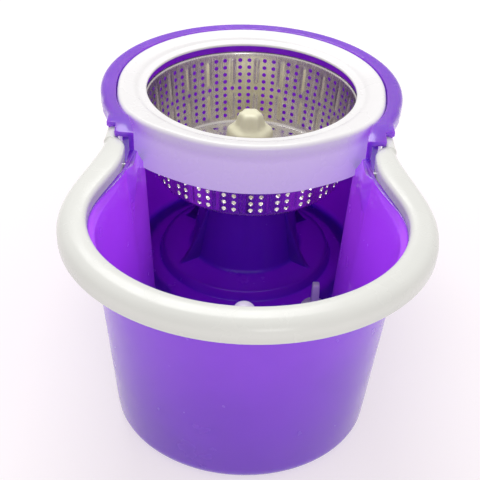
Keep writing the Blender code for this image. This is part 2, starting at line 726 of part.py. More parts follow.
def drive_post(plastic):
    foot, top = POST_FOOT, POST_FOOT + POST_HEIGHT
    sections = [
        (POST_BASE_RADIUS, foot, 0.0),
        (POST_BASE_RADIUS, foot + 0.004, 0.0),
        (0.90 * POST_BASE_RADIUS, foot + 0.018, 0.0),
        (0.84 * POST_BASE_RADIUS, foot + 0.036, 0.03),
        (0.76 * POST_BASE_RADIUS, foot + 0.040, 0.06),
        (1.38 * POST_TOP_RADIUS, foot + 0.0425, 0.08),
        (1.22 * POST_TOP_RADIUS, foot + 0.046, 0.08),
        (1.10 * POST_TOP_RADIUS, top - 0.0035, 0.08),
        (POST_TOP_RADIUS, top, 0.07),
    ]
    post = finish("drive_post", loft([post_section(*s) for s in sections]), plastic)
    cuts = [screw_cut(number, plastic) for number in range(SCREWS)]
    reach = SHAFT_RADIUS + GAP
    shaft = [(reach, foot - 0.01), (reach, foot + SHAFT_IN_POST + 2 * GAP)]
    cuts.append(finish("shaft_cut", turned_solid(shaft, 24), plastic))
    combine(post, cuts, "DIFFERENCE")
    return post


def hub_plate(plastic):
    top = BASKET_FLOOR - GAP
    bore = SHAFT_RADIUS + GAP
    profile = [
        (bore, top),
        (HUB_RADIUS, top),
        (HUB_RADIUS, top - 0.002),
        (HUB_RADIUS - 0.004, top - HUB_THICKNESS),
        (bore, top - HUB_THICKNESS),
    ]
    plate = finish("hub_plate", turned(profile, POST_STEPS), plastic)
    combine(plate, [screw_cut(number, plastic) for number in range(SCREWS)], "DIFFERENCE")
    return plate


def post_screw(number, steel):
    x, y = screw_place(number)
    under = BASKET_FLOOR - GAP - HUB_THICKNESS - GAP
    head = SCREW_RADIUS + 0.0015
    profile = [
        (0.6 * head, under - SCREW_HEAD),
        (head, under - 0.6 * SCREW_HEAD),
        (head, under),
        (SCREW_RADIUS, under + 0.0001),
        (SCREW_RADIUS, BASKET_FLOOR + SCREW_IN_POST - 0.0015),
        (0.5 * SCREW_RADIUS, BASKET_FLOOR + SCREW_IN_POST),
    ]
    return finish(f"post_screw_{number + 1}", turned_solid(profile, 12, x, y), steel)


def axle_shaft(steel):
    top, groove, chamfer = POST_FOOT + SHAFT_IN_POST, clip_z(), 0.0006
    half, root = CLIP / 2 + 0.0002, SHAFT_RADIUS - 0.0008
    profile = [
        (SHAFT_RADIUS - chamfer, SHAFT_FOOT),
        (SHAFT_RADIUS, SHAFT_FOOT + chamfer),
        (SHAFT_RADIUS, groove - half),
        (root, groove - half),
        (root, groove + half),
        (SHAFT_RADIUS, groove + half),
        (SHAFT_RADIUS, top - chamfer),
        (SHAFT_RADIUS - chamfer, top),
    ]
    return finish("axle_shaft", turned_solid(profile, 24), steel)


def washer_top():
    return TUBE_FOOT - GAP - BUSH_FLANGE - GAP


def clip_z():
    """Middle of the shaft's groove, under the bush and its washer."""
    return washer_top() - WASHER - GAP - CLIP / 2 - 0.0002


def race(name, inner, outer, groove_at, steel):
    """A bearing race from inner to outer radius, with its ball groove on one side."""
    low, high = SEAT + GAP, SEAT + GAP + BEARING_WIDTH
    middle = (low + high) / 2
    sign = 1 if groove_at == inner else -1
    groove = [
        (groove_at, middle - 0.0018),
        (groove_at + sign * GROOVE, middle - 0.0006),
        (groove_at + sign * GROOVE, middle + 0.0006),
        (groove_at, middle + 0.0018),
    ]
    if groove_at == inner:
        profile = [(inner, low)] + groove + [(inner, high), (outer, high), (outer, low)]
    else:
        profile = [(outer, low)] + groove + [(outer, high), (inner, high), (inner, low)]
    return finish(name, turned(profile, RACE_STEPS), steel)


def pitch_radius():
    return (SHAFT_RADIUS + GAP + BEARING_RADIUS) / 2


def bearing_cage(plastic):
    middle = SEAT + GAP + BEARING_WIDTH / 2
    half, thick = 0.0026, 0.0007
    pitch = pitch_radius()
    profile = [
        (pitch - thick, middle - half),
        (pitch + thick, middle - half),
        (pitch + thick, middle + half),
        (pitch - thick, middle + half),
    ]
    cage = finish("bearing_cage", turned(profile, 4 * BALLS), plastic)
    cuts = []
    for number in range(BALLS):
        x, y = ball_place(number)
        cutter = bmesh.new()
        bmesh.ops.create_icosphere(
            cutter,
            subdivisions=1,
            radius=BALL_RADIUS + 2 * GAP,
            matrix=Matrix.Translation((x, y, middle)),
        )
        cuts.append(finish("pocket", cutter, plastic))
    combine(cage, cuts, "DIFFERENCE")
    return cage


def ball_place(number):
    a = math.tau * number / BALLS
    return pitch_radius() * math.cos(a), SPIN_Y + pitch_radius() * math.sin(a)


def bearing_ball(number, steel):
    x, y = ball_place(number)
    ball = bmesh.new()
    where = Matrix.Translation((x, y, SEAT + GAP + BEARING_WIDTH / 2))
    bmesh.ops.create_icosphere(ball, subdivisions=2, radius=BALL_RADIUS, matrix=where)
    return finish(f"bearing_ball_{number + 1}", ball, steel)


def lower_bush(plastic):
    inner = SHAFT_RADIUS + TURN_CLEARANCE
    outer = inner + BUSH_WALL
    face = TUBE_FOOT - GAP
    profile = [
        (inner, face - BUSH_FLANGE),
        (outer + 0.0025, face - BUSH_FLANGE),
        (outer + 0.0025, face),
        (outer, face),
        (outer, face + BUSH_LENGTH),
        (inner, face + BUSH_LENGTH),
    ]
    return finish("lower_bush", turned(profile, 24), plastic)


def washer(name, radii, low, thickness, finish_material, x=0.0, y=None):
    (inner, outer), high = radii, low + thickness
    profile = [(inner, low), (outer, low), (outer, high), (inner, high)]
    return finish(name, turned(profile, 24, x, y), finish_material)


def retaining_clip(steel):
    """An open ring sprung into the shaft's groove."""
    low, high = clip_z() - CLIP / 2, clip_z() + CLIP / 2
    inner, outer = SHAFT_RADIUS - 0.0008 + GAP, SHAFT_RADIUS + 0.0025
    rings = []
    steps = 14
    for i in range(steps + 1):
        a = math.radians(25) + math.radians(310) * i / steps
        profile = [(inner, low), (outer, low), (outer, high), (inner, high)]
        rings.append([(r * math.sin(a), SPIN_Y - r * math.cos(a), z) for r, z in profile])
    return finish("retaining_clip", loft(rings), steel)


# Rinse post and drain


def rinse_pin(steel):
    """Pressed in the boss, it carries the cap."""
    radius, top = RINSE_PIN_RADIUS, RINSE_TOP - 0.0048
    profile = [
        (radius, FLOOR + RINSE_PIN_FOOT + GAP),
        (radius, top - 0.0007),
        (radius - 0.0006, top),
    ]
    return finish("rinse_pin", turned_solid(profile, 20, 0.0, TUB_Y), steel)


def rinse_cap(plastic):
    """The domed cap that turns on the pin."""
    low = RINSE_TOP - RINSE_CAP_HEIGHT + GAP
    profile = [
        (RINSE_CAP_RADIUS, low),
        (RINSE_CAP_RADIUS, RINSE_TOP - 0.0055),
        (0.82 * RINSE_CAP_RADIUS, RINSE_TOP - 0.0024),
        (0.5 * RINSE_CAP_RADIUS, RINSE_TOP - 0.0006),
        (0.15 * RINSE_CAP_RADIUS, RINSE_TOP),
    ]
    cap = finish("rinse_cap", turned_solid(profile, 20, 0.0, TUB_Y), plastic)
    bore = RINSE_PIN_RADIUS + TURN_CLEARANCE
    hole = [(bore, low - 0.002), (bore, RINSE_TOP - 0.0042)]
    combine(cap, [finish("cap_bore", turned_solid(hole, 20, 0.0, TUB_Y), plastic)], "DIFFERENCE")
    return cap


def drain_gasket(rubber):
    radii = (DRAIN_RADIUS + 0.0004, DRAIN_RADIUS + 0.0030)
    return washer("drain_gasket", radii, FLOOR + GAP, GASKET, rubber, DRAIN_X, DRAIN_Y)


def drain_plug(plastic):
    y, radius = DRAIN_Y, DRAIN_RADIUS
    low = FLOOR + GAP + GASKET + GAP
    profile = [
        (radius - 0.0022, FOOT_HEIGHT - 0.0015),
        (radius - 0.0008, FOOT_HEIGHT + 0.0010),
        (radius - 0.0006, low),
        (radius + 0.0032, low),
        (radius + 0.0032, low + 0.0018),
        (radius + 0.0022, low + 0.0026),
    ]
    plug = finish("drain_plug", turned_solid(profile, 24, DRAIN_X, y), plastic)
    half, rings = 0.0034, []
    for share, length in ((0.04, 0.0062), (0.6, 0.0056), (1.0, 0.0035)):
        z = low + share * GRIP_HEIGHT
        corners = ((-1, -1), (1, -1), (1, 1), (-1, 1))
        rings.append([(DRAIN_X + half * a, y + length * b, z) for a, b in corners])
    combine(plug, [finish("grip", loft(rings), plastic)], "UNION")
    return plug


def build():
    clear_scene()
    violet = material("violet_plastic", (0.23, 0.07, 0.62), 0.25)
    cream = material("cream_plastic", (0.87, 0.89, 0.83), 0.35)
    white = material("white_plastic", (0.94, 0.94, 0.94), 0.3)
    ivory = material("ivory_plastic", (0.85, 0.83, 0.66), 0.4)
    inox = material("stainless_steel", (0.72, 0.70, 0.66), 0.22, 1.0)
    hard_steel = material("bearing_steel", (0.62, 0.63, 0.65), 0.2, 1.0)
    natural = material("natural_nylon", (0.82, 0.80, 0.74), 0.45)
    black = material("black_rubber", (0.03, 0.03, 0.03), 0.8)

    bucket_body(violet)
    carry_handle(cream)
    handle_pin("handle_pin_left", -1, hard_steel)
    handle_pin("handle_pin_right", 1, hard_steel)
    splash_ring(white)
    spin_basket(inox)
    drive_post(ivory)
    hub_plate(natural)
    for number in range(SCREWS):
        post_screw(number, hard_steel)
    axle_shaft(hard_steel)
    outer_inner = BEARING_RADIUS - RACE
    inner_outer = SHAFT_RADIUS + GAP + RACE
    race("bearing_outer_race", outer_inner, BEARING_RADIUS, outer_inner, hard_steel)
    race("bearing_inner_race", SHAFT_RADIUS + GAP, inner_outer, inner_outer, hard_steel)
    bearing_cage(natural)
    for number in range(BALLS):
        bearing_ball(number, hard_steel)
    lower_bush(natural)
    radii = (SHAFT_RADIUS + GAP, SHAFT_RADIUS + 0.0042)
    washer("thrust_washer", radii, washer_top() - WASHER, WASHER, hard_steel)
    retaining_clip(hard_steel)
    rinse_pin(hard_steel)
    rinse_cap(white)
    drain_gasket(black)
    drain_plug(white)


build()
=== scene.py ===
import math

import bmesh
import bpy
from mathutils import Matrix, Vector


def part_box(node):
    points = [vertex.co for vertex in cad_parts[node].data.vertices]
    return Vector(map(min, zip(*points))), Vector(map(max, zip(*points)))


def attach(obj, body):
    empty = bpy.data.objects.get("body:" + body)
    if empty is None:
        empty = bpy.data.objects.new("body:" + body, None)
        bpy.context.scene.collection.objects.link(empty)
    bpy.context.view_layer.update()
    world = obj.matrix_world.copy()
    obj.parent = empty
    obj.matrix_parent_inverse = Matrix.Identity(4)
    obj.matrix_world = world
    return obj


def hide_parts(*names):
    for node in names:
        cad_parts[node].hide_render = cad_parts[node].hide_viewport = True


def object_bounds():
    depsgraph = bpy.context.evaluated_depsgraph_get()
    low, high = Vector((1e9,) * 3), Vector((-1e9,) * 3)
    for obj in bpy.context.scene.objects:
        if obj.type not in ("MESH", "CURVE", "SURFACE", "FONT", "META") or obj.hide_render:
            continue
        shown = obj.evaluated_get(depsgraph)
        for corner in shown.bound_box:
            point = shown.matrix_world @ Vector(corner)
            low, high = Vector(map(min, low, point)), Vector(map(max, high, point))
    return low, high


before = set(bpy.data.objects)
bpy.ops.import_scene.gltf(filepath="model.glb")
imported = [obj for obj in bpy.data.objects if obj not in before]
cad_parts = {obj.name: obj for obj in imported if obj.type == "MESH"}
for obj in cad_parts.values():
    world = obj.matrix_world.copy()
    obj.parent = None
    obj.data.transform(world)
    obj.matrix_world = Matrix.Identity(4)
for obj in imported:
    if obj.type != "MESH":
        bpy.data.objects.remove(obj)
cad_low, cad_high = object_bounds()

# Tub
# The tub with its round rear chamber, foot and pedestal is one injection moulding in glossy
# violet polypropylene, 2.5 mm thick, narrowing towards the floor so that it leaves its mould.
TOP = cad_high.z
SPIN_Y = (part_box("splash_ring")[0].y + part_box("splash_ring")[1].y) / 2
TUB_Y = (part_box("rinse_cap")[0].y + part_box("rinse_cap")[1].y) / 2
RIM, WALL = TOP - 0.016, 0.0025
CHAMBER, RIDGE_ANGLE = 0.1173, math.radians(48)
RIDGE_X = CHAMBER * math.sin(RIDGE_ANGLE)
RIDGE_Y = SPIN_Y - CHAMBER * math.cos(RIDGE_ANGLE)
THROAT_X, FLANK_Y = RIDGE_X + 0.0065, RIDGE_Y - 0.044
TUB_HALF_WIDTH, TUB_DEPTH, TAPER, REAR_TAPER = 0.107, 0.0965, 0.0115, 0.008
RIM_HALF_WIDTH, RIM_DEPTH = TUB_HALF_WIDTH + 0.0048, TUB_DEPTH + 0.0048
LIP_HEIGHT, FLANGE, FLANGE_THICKNESS = 0.007, 0.0142, 0.0025
BASE_RADIUS, FLOOR, FLOOR_RADIUS, FOOT_HEIGHT, FOOT_WIDTH = 0.013, 0.008, 0.005, 0.0055, 0.0032


def start_ring(name, places):
    """Adds a circle with a vertex for each place, and opens it in edit mode, set on them."""
    bpy.ops.object.select_all(action="DESELECT")
    bpy.ops.mesh.primitive_circle_add(vertices=len(places), radius=0.05)
    piece = bpy.context.object
    piece.name = piece.data.name = name
    order = piece.data.attributes.new("turn", "INT", "POINT")
    order.data.foreach_set("value", range(len(places)))
    bpy.ops.object.mode_set(mode="EDIT")
    bpy.ops.mesh.select_all(action="SELECT")
    set_ring(places)
    return piece


def set_ring(places):
    """Puts the selected ring of vertices on these places, in the order of its first circle."""
    mesh = bmesh.from_edit_mesh(bpy.context.object.data)
    turn = mesh.verts.layers.int["turn"]
    for vertex in mesh.verts:
        if vertex.select:
            vertex.co = places[vertex[turn]]
    bmesh.update_edit_mesh(bpy.context.object.data)


def draw_out(rings):
    """Extrudes the selected ring of edges once for each further ring of places."""
    for places in rings:
        bpy.ops.mesh.extrude_region_move()
        set_ring(places)


def leave_edit():
    """Closes the ends, merges what meets and turns every face outwards."""
    bpy.ops.mesh.select_all(action="SELECT")
    bpy.ops.mesh.remove_doubles(threshold=0.000002)
    bpy.ops.mesh.fill_holes(sides=0)
    bpy.ops.mesh.normals_make_consistent(inside=False)
    bpy.ops.object.mode_set(mode="OBJECT")


def skin(name, rings, looped=False):
    """A closed skin over rings of places. looped joins the last ring to the first."""
    piece = start_ring(name, rings[0])
    draw_out(rings[1:] + ([rings[0]] if looped else []))
    leave_edit()
    piece.data.attributes.remove(piece.data.attributes["turn"])
    return piece


def apply_modifier(piece, kind, **settings):
    """Adds a modifier with these settings and applies it."""
    change = piece.modifiers.new(kind.lower(), kind)
    for setting, value in settings.items():
        setattr(change, setting, value)
    bpy.ops.object.select_all(action="DESELECT")
    piece.select_set(True)
    bpy.context.view_layer.objects.active = piece
    bpy.ops.object.modifier_apply(modifier=change.name)


def unite(piece, additions, operation="UNION"):
    """Moulds the additions on to the piece, or cuts them out of it."""
    for addition in additions:
        apply_modifier(piece, "BOOLEAN", operation=operation, solver="EXACT", object=addition)
        bpy.data.objects.remove(addition, do_unlink=True)


def smooth_shade(piece, angle=40):
    bpy.ops.object.select_all(action="DESELECT")
    piece.select_set(True)
    bpy.context.view_layer.objects.active = piece
    bpy.ops.object.shade_smooth_by_angle(angle=math.radians(angle))


def settle(piece, finish, slot, body, *nodes):
    """Gives the piece its finish and its body, in place of these solids; slot is not used."""
    piece.data.materials.clear()
    piece.data.materials.append(finish)
    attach(piece, body)
    if nodes:
        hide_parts(*nodes)


def arc(x, z, radius, start, end, steps):
    """Points of an arc in a section, from start to end in degrees."""
    turns = [math.radians(start + (end - start) * i / steps) for i in range(steps + 1)]
    return [(x + radius * math.cos(a), z + radius * math.sin(a)) for a in turns]


def ease(value):
    value = min(max(value, 0.0), 1.0)
    return value * value * (3 - 2 * value)


def flank(y, narrow, wide, start):
    """Half width at y, swelling from narrow at start to wide at the tub's middle."""
    return narrow + (wide - narrow) * ease((start - y) / (start - TUB_Y))


def keyhole(rear, throat, half_width, depth):
    """The tub's outline: round rear chamber, ridge, throat, flanks and round front."""
    half = [(rear * math.sin(a), SPIN_Y + rear * math.cos(a))
            for a in [(math.pi - RIDGE_ANGLE) * i / 44 for i in range(45)]]
    ridge_x, ridge_y = half[-1]
    for i in range(1, 5):
        half.append((ridge_x + (throat - ridge_x) * i / 4, ridge_y + (FLANK_Y - ridge_y) * i / 4))
    for i in range(1, 19):
        y = FLANK_Y + (TUB_Y - FLANK_Y) * i / 18
        half.append((flank(y, throat, half_width, FLANK_Y), y))
    for i in range(1, 37):
        a = math.pi / 2 * i / 36
        half.append((half_width * math.cos(a), TUB_Y - depth * math.sin(a)))
    half[-1] = (0.0, TUB_Y - depth)
    return half + [(-x, y) for x, y in reversed(half[1:-1])]


def offset(outline, distance):
    """The outline moved outwards by one distance or by one for each point."""
    moved = []
    for i, (x, y) in enumerate(outline):
        (ax, ay), (bx, by) = outline[i - 1], outline[(i + 1) % len(outline)]
        first, second = math.hypot(x - ax, y - ay), math.hypot(bx - x, by - y)
        nx = (-(y - ay) / first - (by - y) / second) / 2
        ny = ((x - ax) / first + (bx - x) / second) / 2
        share = (distance[i] if isinstance(distance, list) else distance) / (nx * nx + ny * ny)
        moved.append((x + share * nx, y + share * ny))
    return moved


def narrowing(z):
    return TAPER * (RIM - LIP_HEIGHT - z) / (RIM - LIP_HEIGHT - FLOOR)


def wall_outline(z):
    """Inside of the wall at height z, with the flare that meets the rim."""
    less = narrowing(z)
    wider = 0.0048 * ease((z - RIM + LIP_HEIGHT) / LIP_HEIGHT) ** 0.8 if z > RIM - LIP_HEIGHT else 0.0
    less = max(less, 0.0)
    return keyhole(CHAMBER - less * REAR_TAPER / TAPER, THROAT_X - less,
                   TUB_HALF_WIDTH - less + wider, TUB_DEPTH - less + wider)


def around_spinner(outline, radius):
    """The outline's points moved to a circle about the spinner's axis."""
    moved = []
    for x, y in outline:
        length = math.hypot(x, y - SPIN_Y)
        moved.append((x * radius / length, SPIN_Y + (y - SPIN_Y) * radius / length))
    return moved


PLATFORM, PLATFORM_HEIGHT, PEDESTAL_TOP = 0.0805, 0.017, 0.0932
SEAT, TUBE_FOOT = 0.0852, 0.046
BEARING_BORE, TUBE_BORE = 0.01145, 0.0073


def cone_radius(z):
    """Outside of the pedestal's cone at height z."""
    low, high = PLATFORM_HEIGHT + 0.0045, PEDESTAL_TOP - 0.002
    return 0.052 + (0.039 - 0.052) * (z - low) / (high - low)


def pedestal():
    """(radius, z) over the platform and the cone, down the bearing's seat and back under."""
    foot = cone_radius(PLATFORM_HEIGHT + 0.0045)
    top = cone_radius(PEDESTAL_TOP - 0.002)
    return (
        arc(PLATFORM + 0.0045, FLOOR + 0.0015, 0.0015, 270, 180, 3)
        + arc(PLATFORM - 0.0015, PLATFORM_HEIGHT - 0.0018, 0.0018, 0, 90, 4)
        + [(PLATFORM - 0.004, PLATFORM_HEIGHT), (foot + 0.0150, PLATFORM_HEIGHT)]
        + arc(foot + 0.0045, PLATFORM_HEIGHT + 0.0045, 0.0045, 270, 187, 6)
        + [(cone_radius(0.045), 0.045), (cone_radius(0.070), 0.070)]
        + arc(top - 0.002, PEDESTAL_TOP - 0.002, 0.002, 5, 90, 4)
        + [(top - 0.006, PEDESTAL_TOP), (BEARING_BORE + 0.0004, PEDESTAL_TOP)]
        + [(BEARING_BORE, PEDESTAL_TOP - 0.0004), (BEARING_BORE, SEAT), (TUBE_BORE, SEAT)]
        + [(TUBE_BORE, TUBE_FOOT), (TUBE_BORE + 0.0032, TUBE_FOOT), (TUBE_BORE + 0.0032, SEAT - 0.006)]
        + [(BEARING_BORE + 0.003, SEAT - 0.003), (BEARING_BORE + 0.003, PEDESTAL_TOP - 0.0035)]
        + [(cone_radius(PEDESTAL_TOP - 0.0035) - WALL, PEDESTAL_TOP - 0.0035)]
        + [(foot - WALL, PLATFORM_HEIGHT - WALL), (PLATFORM - 0.002, PLATFORM_HEIGHT - WALL)]
        + [(PLATFORM + 0.0007, FOOT_HEIGHT)]
    )


def tub_rings():
    """Rings of places from the foot up the outside, over the rim and down to the pedestal."""
    rings = []
    base = offset(wall_outline(BASE_RADIUS), WALL)
    for x, z in arc(-BASE_RADIUS, BASE_RADIUS, BASE_RADIUS, 270, 360, 7):
        rings.append((offset(base, x), z))
    for z in (0.06, 0.11, RIM - LIP_HEIGHT - 0.006):
        rings.append((offset(wall_outline(z), WALL), z))
    for share in (0.0, 0.25, 0.5):
        z = RIM - LIP_HEIGHT * (1 - share)
        rings.append((offset(wall_outline(z), WALL), z))
    rim = wall_outline(RIM)
    start = FLANK_Y - 0.0045
    reach = [WALL + FLANGE * ease((start - y) / (start - TUB_Y)) for _, y in rim]
    rings.append((offset(rim, WALL), RIM - FLANGE_THICKNESS - 0.001))
    rings.append((offset(rim, [r + 0.0002 for r in reach]), RIM - FLANGE_THICKNESS))
    rings.append((offset(rim, reach), RIM - 0.0004))
    rings.append((offset(rim, [r - 0.0004 for r in reach]), RIM))
    rings.append((offset(rim, 0.0005), RIM))
    for share in (0.97, 0.9, 0.75, 0.55, 0.35, 0.2, 0.0):
        z = RIM - LIP_HEIGHT * (1 - share)
        rings.append((wall_outline(z), z))
    for z in (0.11, 0.06):
        rings.append((wall_outline(z), z))
    low = wall_outline(FLOOR + FLOOR_RADIUS)
    for x, z in arc(-FLOOR_RADIUS, FLOOR + FLOOR_RADIUS, FLOOR_RADIUS, 360, 270, 5):
        rings.append((offset(low, x), z))
    floor = rings[-1][0]
    rings += [(around_spinner(floor, radius), z) for radius, z in pedestal()]
    rings.append((offset(base, -BASE_RADIUS - FOOT_WIDTH - 0.0005), FOOT_HEIGHT))
    rings.append((offset(base, -BASE_RADIUS - FOOT_WIDTH), 0.0))
    return [[(x, y, z) for x, y in outline] for outline, z in rings]


tub = skin("tub_moulding", tub_rings(), looped=True)

# Collar, lips and webs, moulded on the tub
# The collar rings the rear chamber and seats the splash ring. It ends on each side in a stepped
# lip over a post that holds the handle's pivot, and four webs stiffen the pedestal's cone.
LEG_X = THROAT_X + WALL + 0.0008
HANDLE_WIDTH = 0.021
COLLAR_RADIUS = CHAMBER + 0.0137
PIVOT_Y, PIVOT_Z = FLANK_Y + 0.0055, RIM - 0.005
FLANGE_SEAT = TOP - 0.0085 - 0.0008
SKIRT = math.radians(54)
LIP_X = LEG_X + HANDLE_WIDTH - 0.003


def shoulder(angle):
    """How far the ring and its seat swell past a circle, at this angle from the front."""
    if angle < SKIRT + 0.01:
        return 0.0040 * ease((angle - math.radians(28)) / math.radians(26))
    return 0.0047 * ease((math.radians(86) - angle) / math.radians(30))


def collar_section(x, y, out_x, out_y, inward):
    """One section: inner wall, seat for the ring, flat top, rolled edge and outer skirt."""
    width = math.hypot(out_x - x, out_y - y)
    ux, uy = (out_x - x) / width, (out_y - y) / width
    profile = [(-0.0002 - inward, RIM - 0.012), (-0.0002 - inward, FLANGE_SEAT - 0.0027)]
    profile += [(-0.0035 - inward, FLANGE_SEAT - 0.0020), (-0.0035 - inward, FLANGE_SEAT)]
    profile += [(0.0, FLANGE_SEAT)]
    profile += arc(0.0010, TOP - 0.0016, 0.0010, 180, 90, 3)
    profile += [(width - 0.0088, TOP - 0.0006), (width - 0.0074, TOP - 0.0002)]
    profile += arc(width - 0.0052, TOP - 0.0052, 0.0052, 90, 0, 8)
    profile += [(width, TOP - 0.012), (width - WALL, TOP - 0.012)]
    profile += [(width - WALL, TOP - 0.0055), (width - WALL - 0.0022, TOP - WALL - 0.0008)]
    profile += [(WALL, TOP - WALL - 0.001), (WALL - 0.0002, RIM - 0.012)]
    return [(x + ux * u, y + uy * u, z) for u, z in profile]


def collar_rings():
    half = []
    turn = math.pi / 2 + math.asin(0.30)
    for i in range(45):
        a = turn * i / 44
        swell = shoulder(math.pi - a)
        inner = CHAMBER + swell
        half.append((inner * math.sin(a), inner * math.cos(a),
                     COLLAR_RADIUS * math.sin(a), COLLAR_RADIUS * math.cos(a), swell))
    from_x, from_y = half[-1][2:4]
    to_x, to_y = LIP_X, RIDGE_Y - SPIN_Y + 0.003
    for i in range(1, 15):
        t = i / 14
        a = math.pi - turn + (SKIRT + 0.012 - math.pi + turn) * t
        swell = shoulder(a)
        inner = CHAMBER + swell
        half.append((inner * math.sin(a), -inner * math.cos(a),
                     from_x + (to_x - from_x) * ease(t) ** 0.8, from_y + (to_y - from_y) * t, swell))
    both = [(-a, b, -c, d, e) for a, b, c, d, e in reversed(half[1:])] + half
    return [collar_section(a, b + SPIN_Y, c, d + SPIN_Y, e) for a, b, c, d, e in both]


def block(name, layers, width=0.0008):
    """A moulded block with rounded edges, over (corners, z) layers from the bottom up."""
    piece = skin(name, [[(x, y, z) for x, y in corners] for corners, z in layers])
    apply_modifier(piece, "BEVEL", width=width, segments=2, limit_method="ANGLE")
    return piece


def lip(side):
    corners = [
        (0.1010, RIDGE_Y + 0.0095), (LIP_X + 0.0002, RIDGE_Y + 0.0085), (LIP_X, RIDGE_Y - 0.0053),
        (LEG_X + 0.0108, RIDGE_Y - 0.0055), (LEG_X + 0.0097, RIDGE_Y - 0.0205),
        (LEG_X + 0.0015, RIDGE_Y - 0.0217), (RIDGE_X + 0.0040, RIDGE_Y - 0.0217),
        (RIDGE_X + 0.0020, RIDGE_Y - 0.0020),
    ]
    corners = [(side * x, y) for x, y in corners]
    return block("lip", [(corners, TOP - 0.0045), (corners, TOP - 0.0001)])


def post(side):
    corners = [
        (RIDGE_X + 0.0018, RIDGE_Y + 0.0012), (0.0975, RIDGE_Y + 0.0130), (0.1022, RIDGE_Y + 0.0107),
        (0.1022, RIDGE_Y - 0.0105), (LEG_X - 0.0010, RIDGE_Y - 0.0135),
        (LEG_X - 0.0010, RIDGE_Y - 0.0215), (RIDGE_X + 0.0040, RIDGE_Y - 0.0215),
        (RIDGE_X + 0.0021, RIDGE_Y - 0.0020),
    ]
    layers = []
    for z in (RIM - 0.030, RIM - LIP_HEIGHT, TOP - 0.003):
        less = max(narrowing(z), 0.0)
        layers.append(([(side * (x - less), y) for x, y in corners], z))
    return block("post", layers)


def notch(side):
    """Room for the end of the ring's skirt, down to a slope that rises towards the lip."""
    plan = [(0.0920, 0.0275), (0.1004, 0.0252), (0.0990, 0.0210), (0.0930, 0.0040),
            (0.0914, -0.0076), (0.0840, -0.0076), (0.0840, 0.0200)]
    slope = [0.150 + 0.53 * (x - 0.088) + 1.057 * (0.0128 - y) for x, y in plan]
    foot = [(side * x, y, z) for (x, y), z in zip(plan, slope)]
    return skin("notch", [foot, [(x, y, TOP + 0.01) for x, y, _ in foot]])


def pad(side):
    layers = []
    for z, depth in ((RIM - 0.034, -0.0042), (RIM - 0.018, 0.0005), (RIM - 0.0006, 0.0)):
        out = THROAT_X + WALL - 0.0008 - max(narrowing(z), 0.0)
        layers.append(([
            (side * (RIDGE_X + 0.0024), RIDGE_Y - 0.0010),
            (side * out, RIDGE_Y - 0.0010),
            (side * (out + 0.0006), PIVOT_Y - 0.016),
            (side * (out - 0.0058 - depth / 2), PIVOT_Y - 0.005),
            (side * (out - 0.0065 - depth), PIVOT_Y + 0.004),
        ], z))
    return block("pad", layers, 0.0006)


def web(side, end):
    """A thin arched web from the cone's wall down to the platform."""
    sunk, top = PLATFORM_HEIGHT - WALL / 2, PEDESTAL_TOP - 0.006
    start, foot = cone_radius(top) - WALL / 2, PLATFORM - 0.003
    outline = [(cone_radius(sunk) - WALL / 2, sunk)]
    for i in range(15):
        t = i / 14
        outline.append((start + (foot - start) * t, sunk + (top - sunk) * (1 - t) ** 1.7))
    ux, uy = side * math.cos(math.radians(34)), end * math.sin(math.radians(34))
    sides = []
    for shift in (-0.00175, 0.00175):
        sides.append([(ux * r - uy * shift, SPIN_Y + uy * r + ux * shift, z) for r, z in outline])
    piece = skin("web", sides)
    apply_modifier(piece, "BEVEL", width=0.0006, segments=2, limit_method="ANGLE")
    return piece


def turned(name, profile, steps, x=0.0, y=None, looped=False):
    """A turned shape: profile is its (radius, z) outline, looped where it has a bore."""
    y = SPIN_Y if y is None else y
    turns = [math.tau * i / steps for i in range(steps)]
    rings = [[(x + r * math.cos(a), y + r * math.sin(a), z) for a in turns] for r, z in profile]
    return skin(name, rings, looped)


def rod(name, radius, from_x, to_x):
    """A round rod along X on the handle's pivot axis."""
    turns = [math.tau * i / 32 for i in range(32)]
    return skin(name, [[(x, PIVOT_Y + radius * math.cos(a), PIVOT_Z + radius * math.sin(a))
                        for a in turns] for x in (from_x, to_x)])


RINSE_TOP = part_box("rinse_cap")[1].z
CAP_FOOT = RINSE_TOP - 0.012
rinse_boss = turned(
    "rinse_boss",
    [(0.0072, CAP_FOOT)] + arc(0.0078, CAP_FOOT - 0.0012, 0.0012, 90, 10, 3)
    + [(0.0098, CAP_FOOT - 0.025), (0.0118, FLOOR + 0.037), (0.0150, FLOOR + 0.014)]
    + [(0.0178, FLOOR + 0.0035), (0.0205, FLOOR + 0.0003), (0.0205, FLOOR - 0.001)],
    48, 0.0, TUB_Y,
)
additions = [skin("collar", collar_rings()), rinse_boss]
for side in (1, -1):
    additions += [lip(side), post(side), pad(side), web(side, 1), web(side, -1)]
unite(tub, additions)
DRAIN = (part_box("drain_plug")[0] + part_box("drain_plug")[1]) / 2
cuts = [turned("drain_cut", [(0.0085, -0.01), (0.0085, 0.03)], 48, DRAIN.x, DRAIN.y)]
cuts.append(turned("pin_cut", [(0.0028, FLOOR + 0.003), (0.0028, RINSE_TOP)], 32, 0.0, TUB_Y))
for side in (1, -1):
    cuts.append(notch(side))
    cuts.append(rod("pivot_cut", 0.0034, side * (THROAT_X + WALL - 0.0055), side * (LEG_X + 0.001)))
unite(tub, cuts, "DIFFERENCE")
smooth_shade(tub, 35)


def node(tree, kind, **settings):
    made = tree.nodes.new("ShaderNode" + kind)
    for setting, value in settings.items():
        setattr(made, setting, value)
    return made


def noise(tree, where, scale, detail=2.0):
    made = node(tree, "TexNoise")
    made.inputs["Detail"].default_value = detail
    if isinstance(scale, float):
        made.inputs["Scale"].default_value = scale
    else:
        tree.links.new(scale, made.inputs["Scale"])
    tree.links.new(where, made.inputs["Vector"])
    return made.outputs["Fac"]


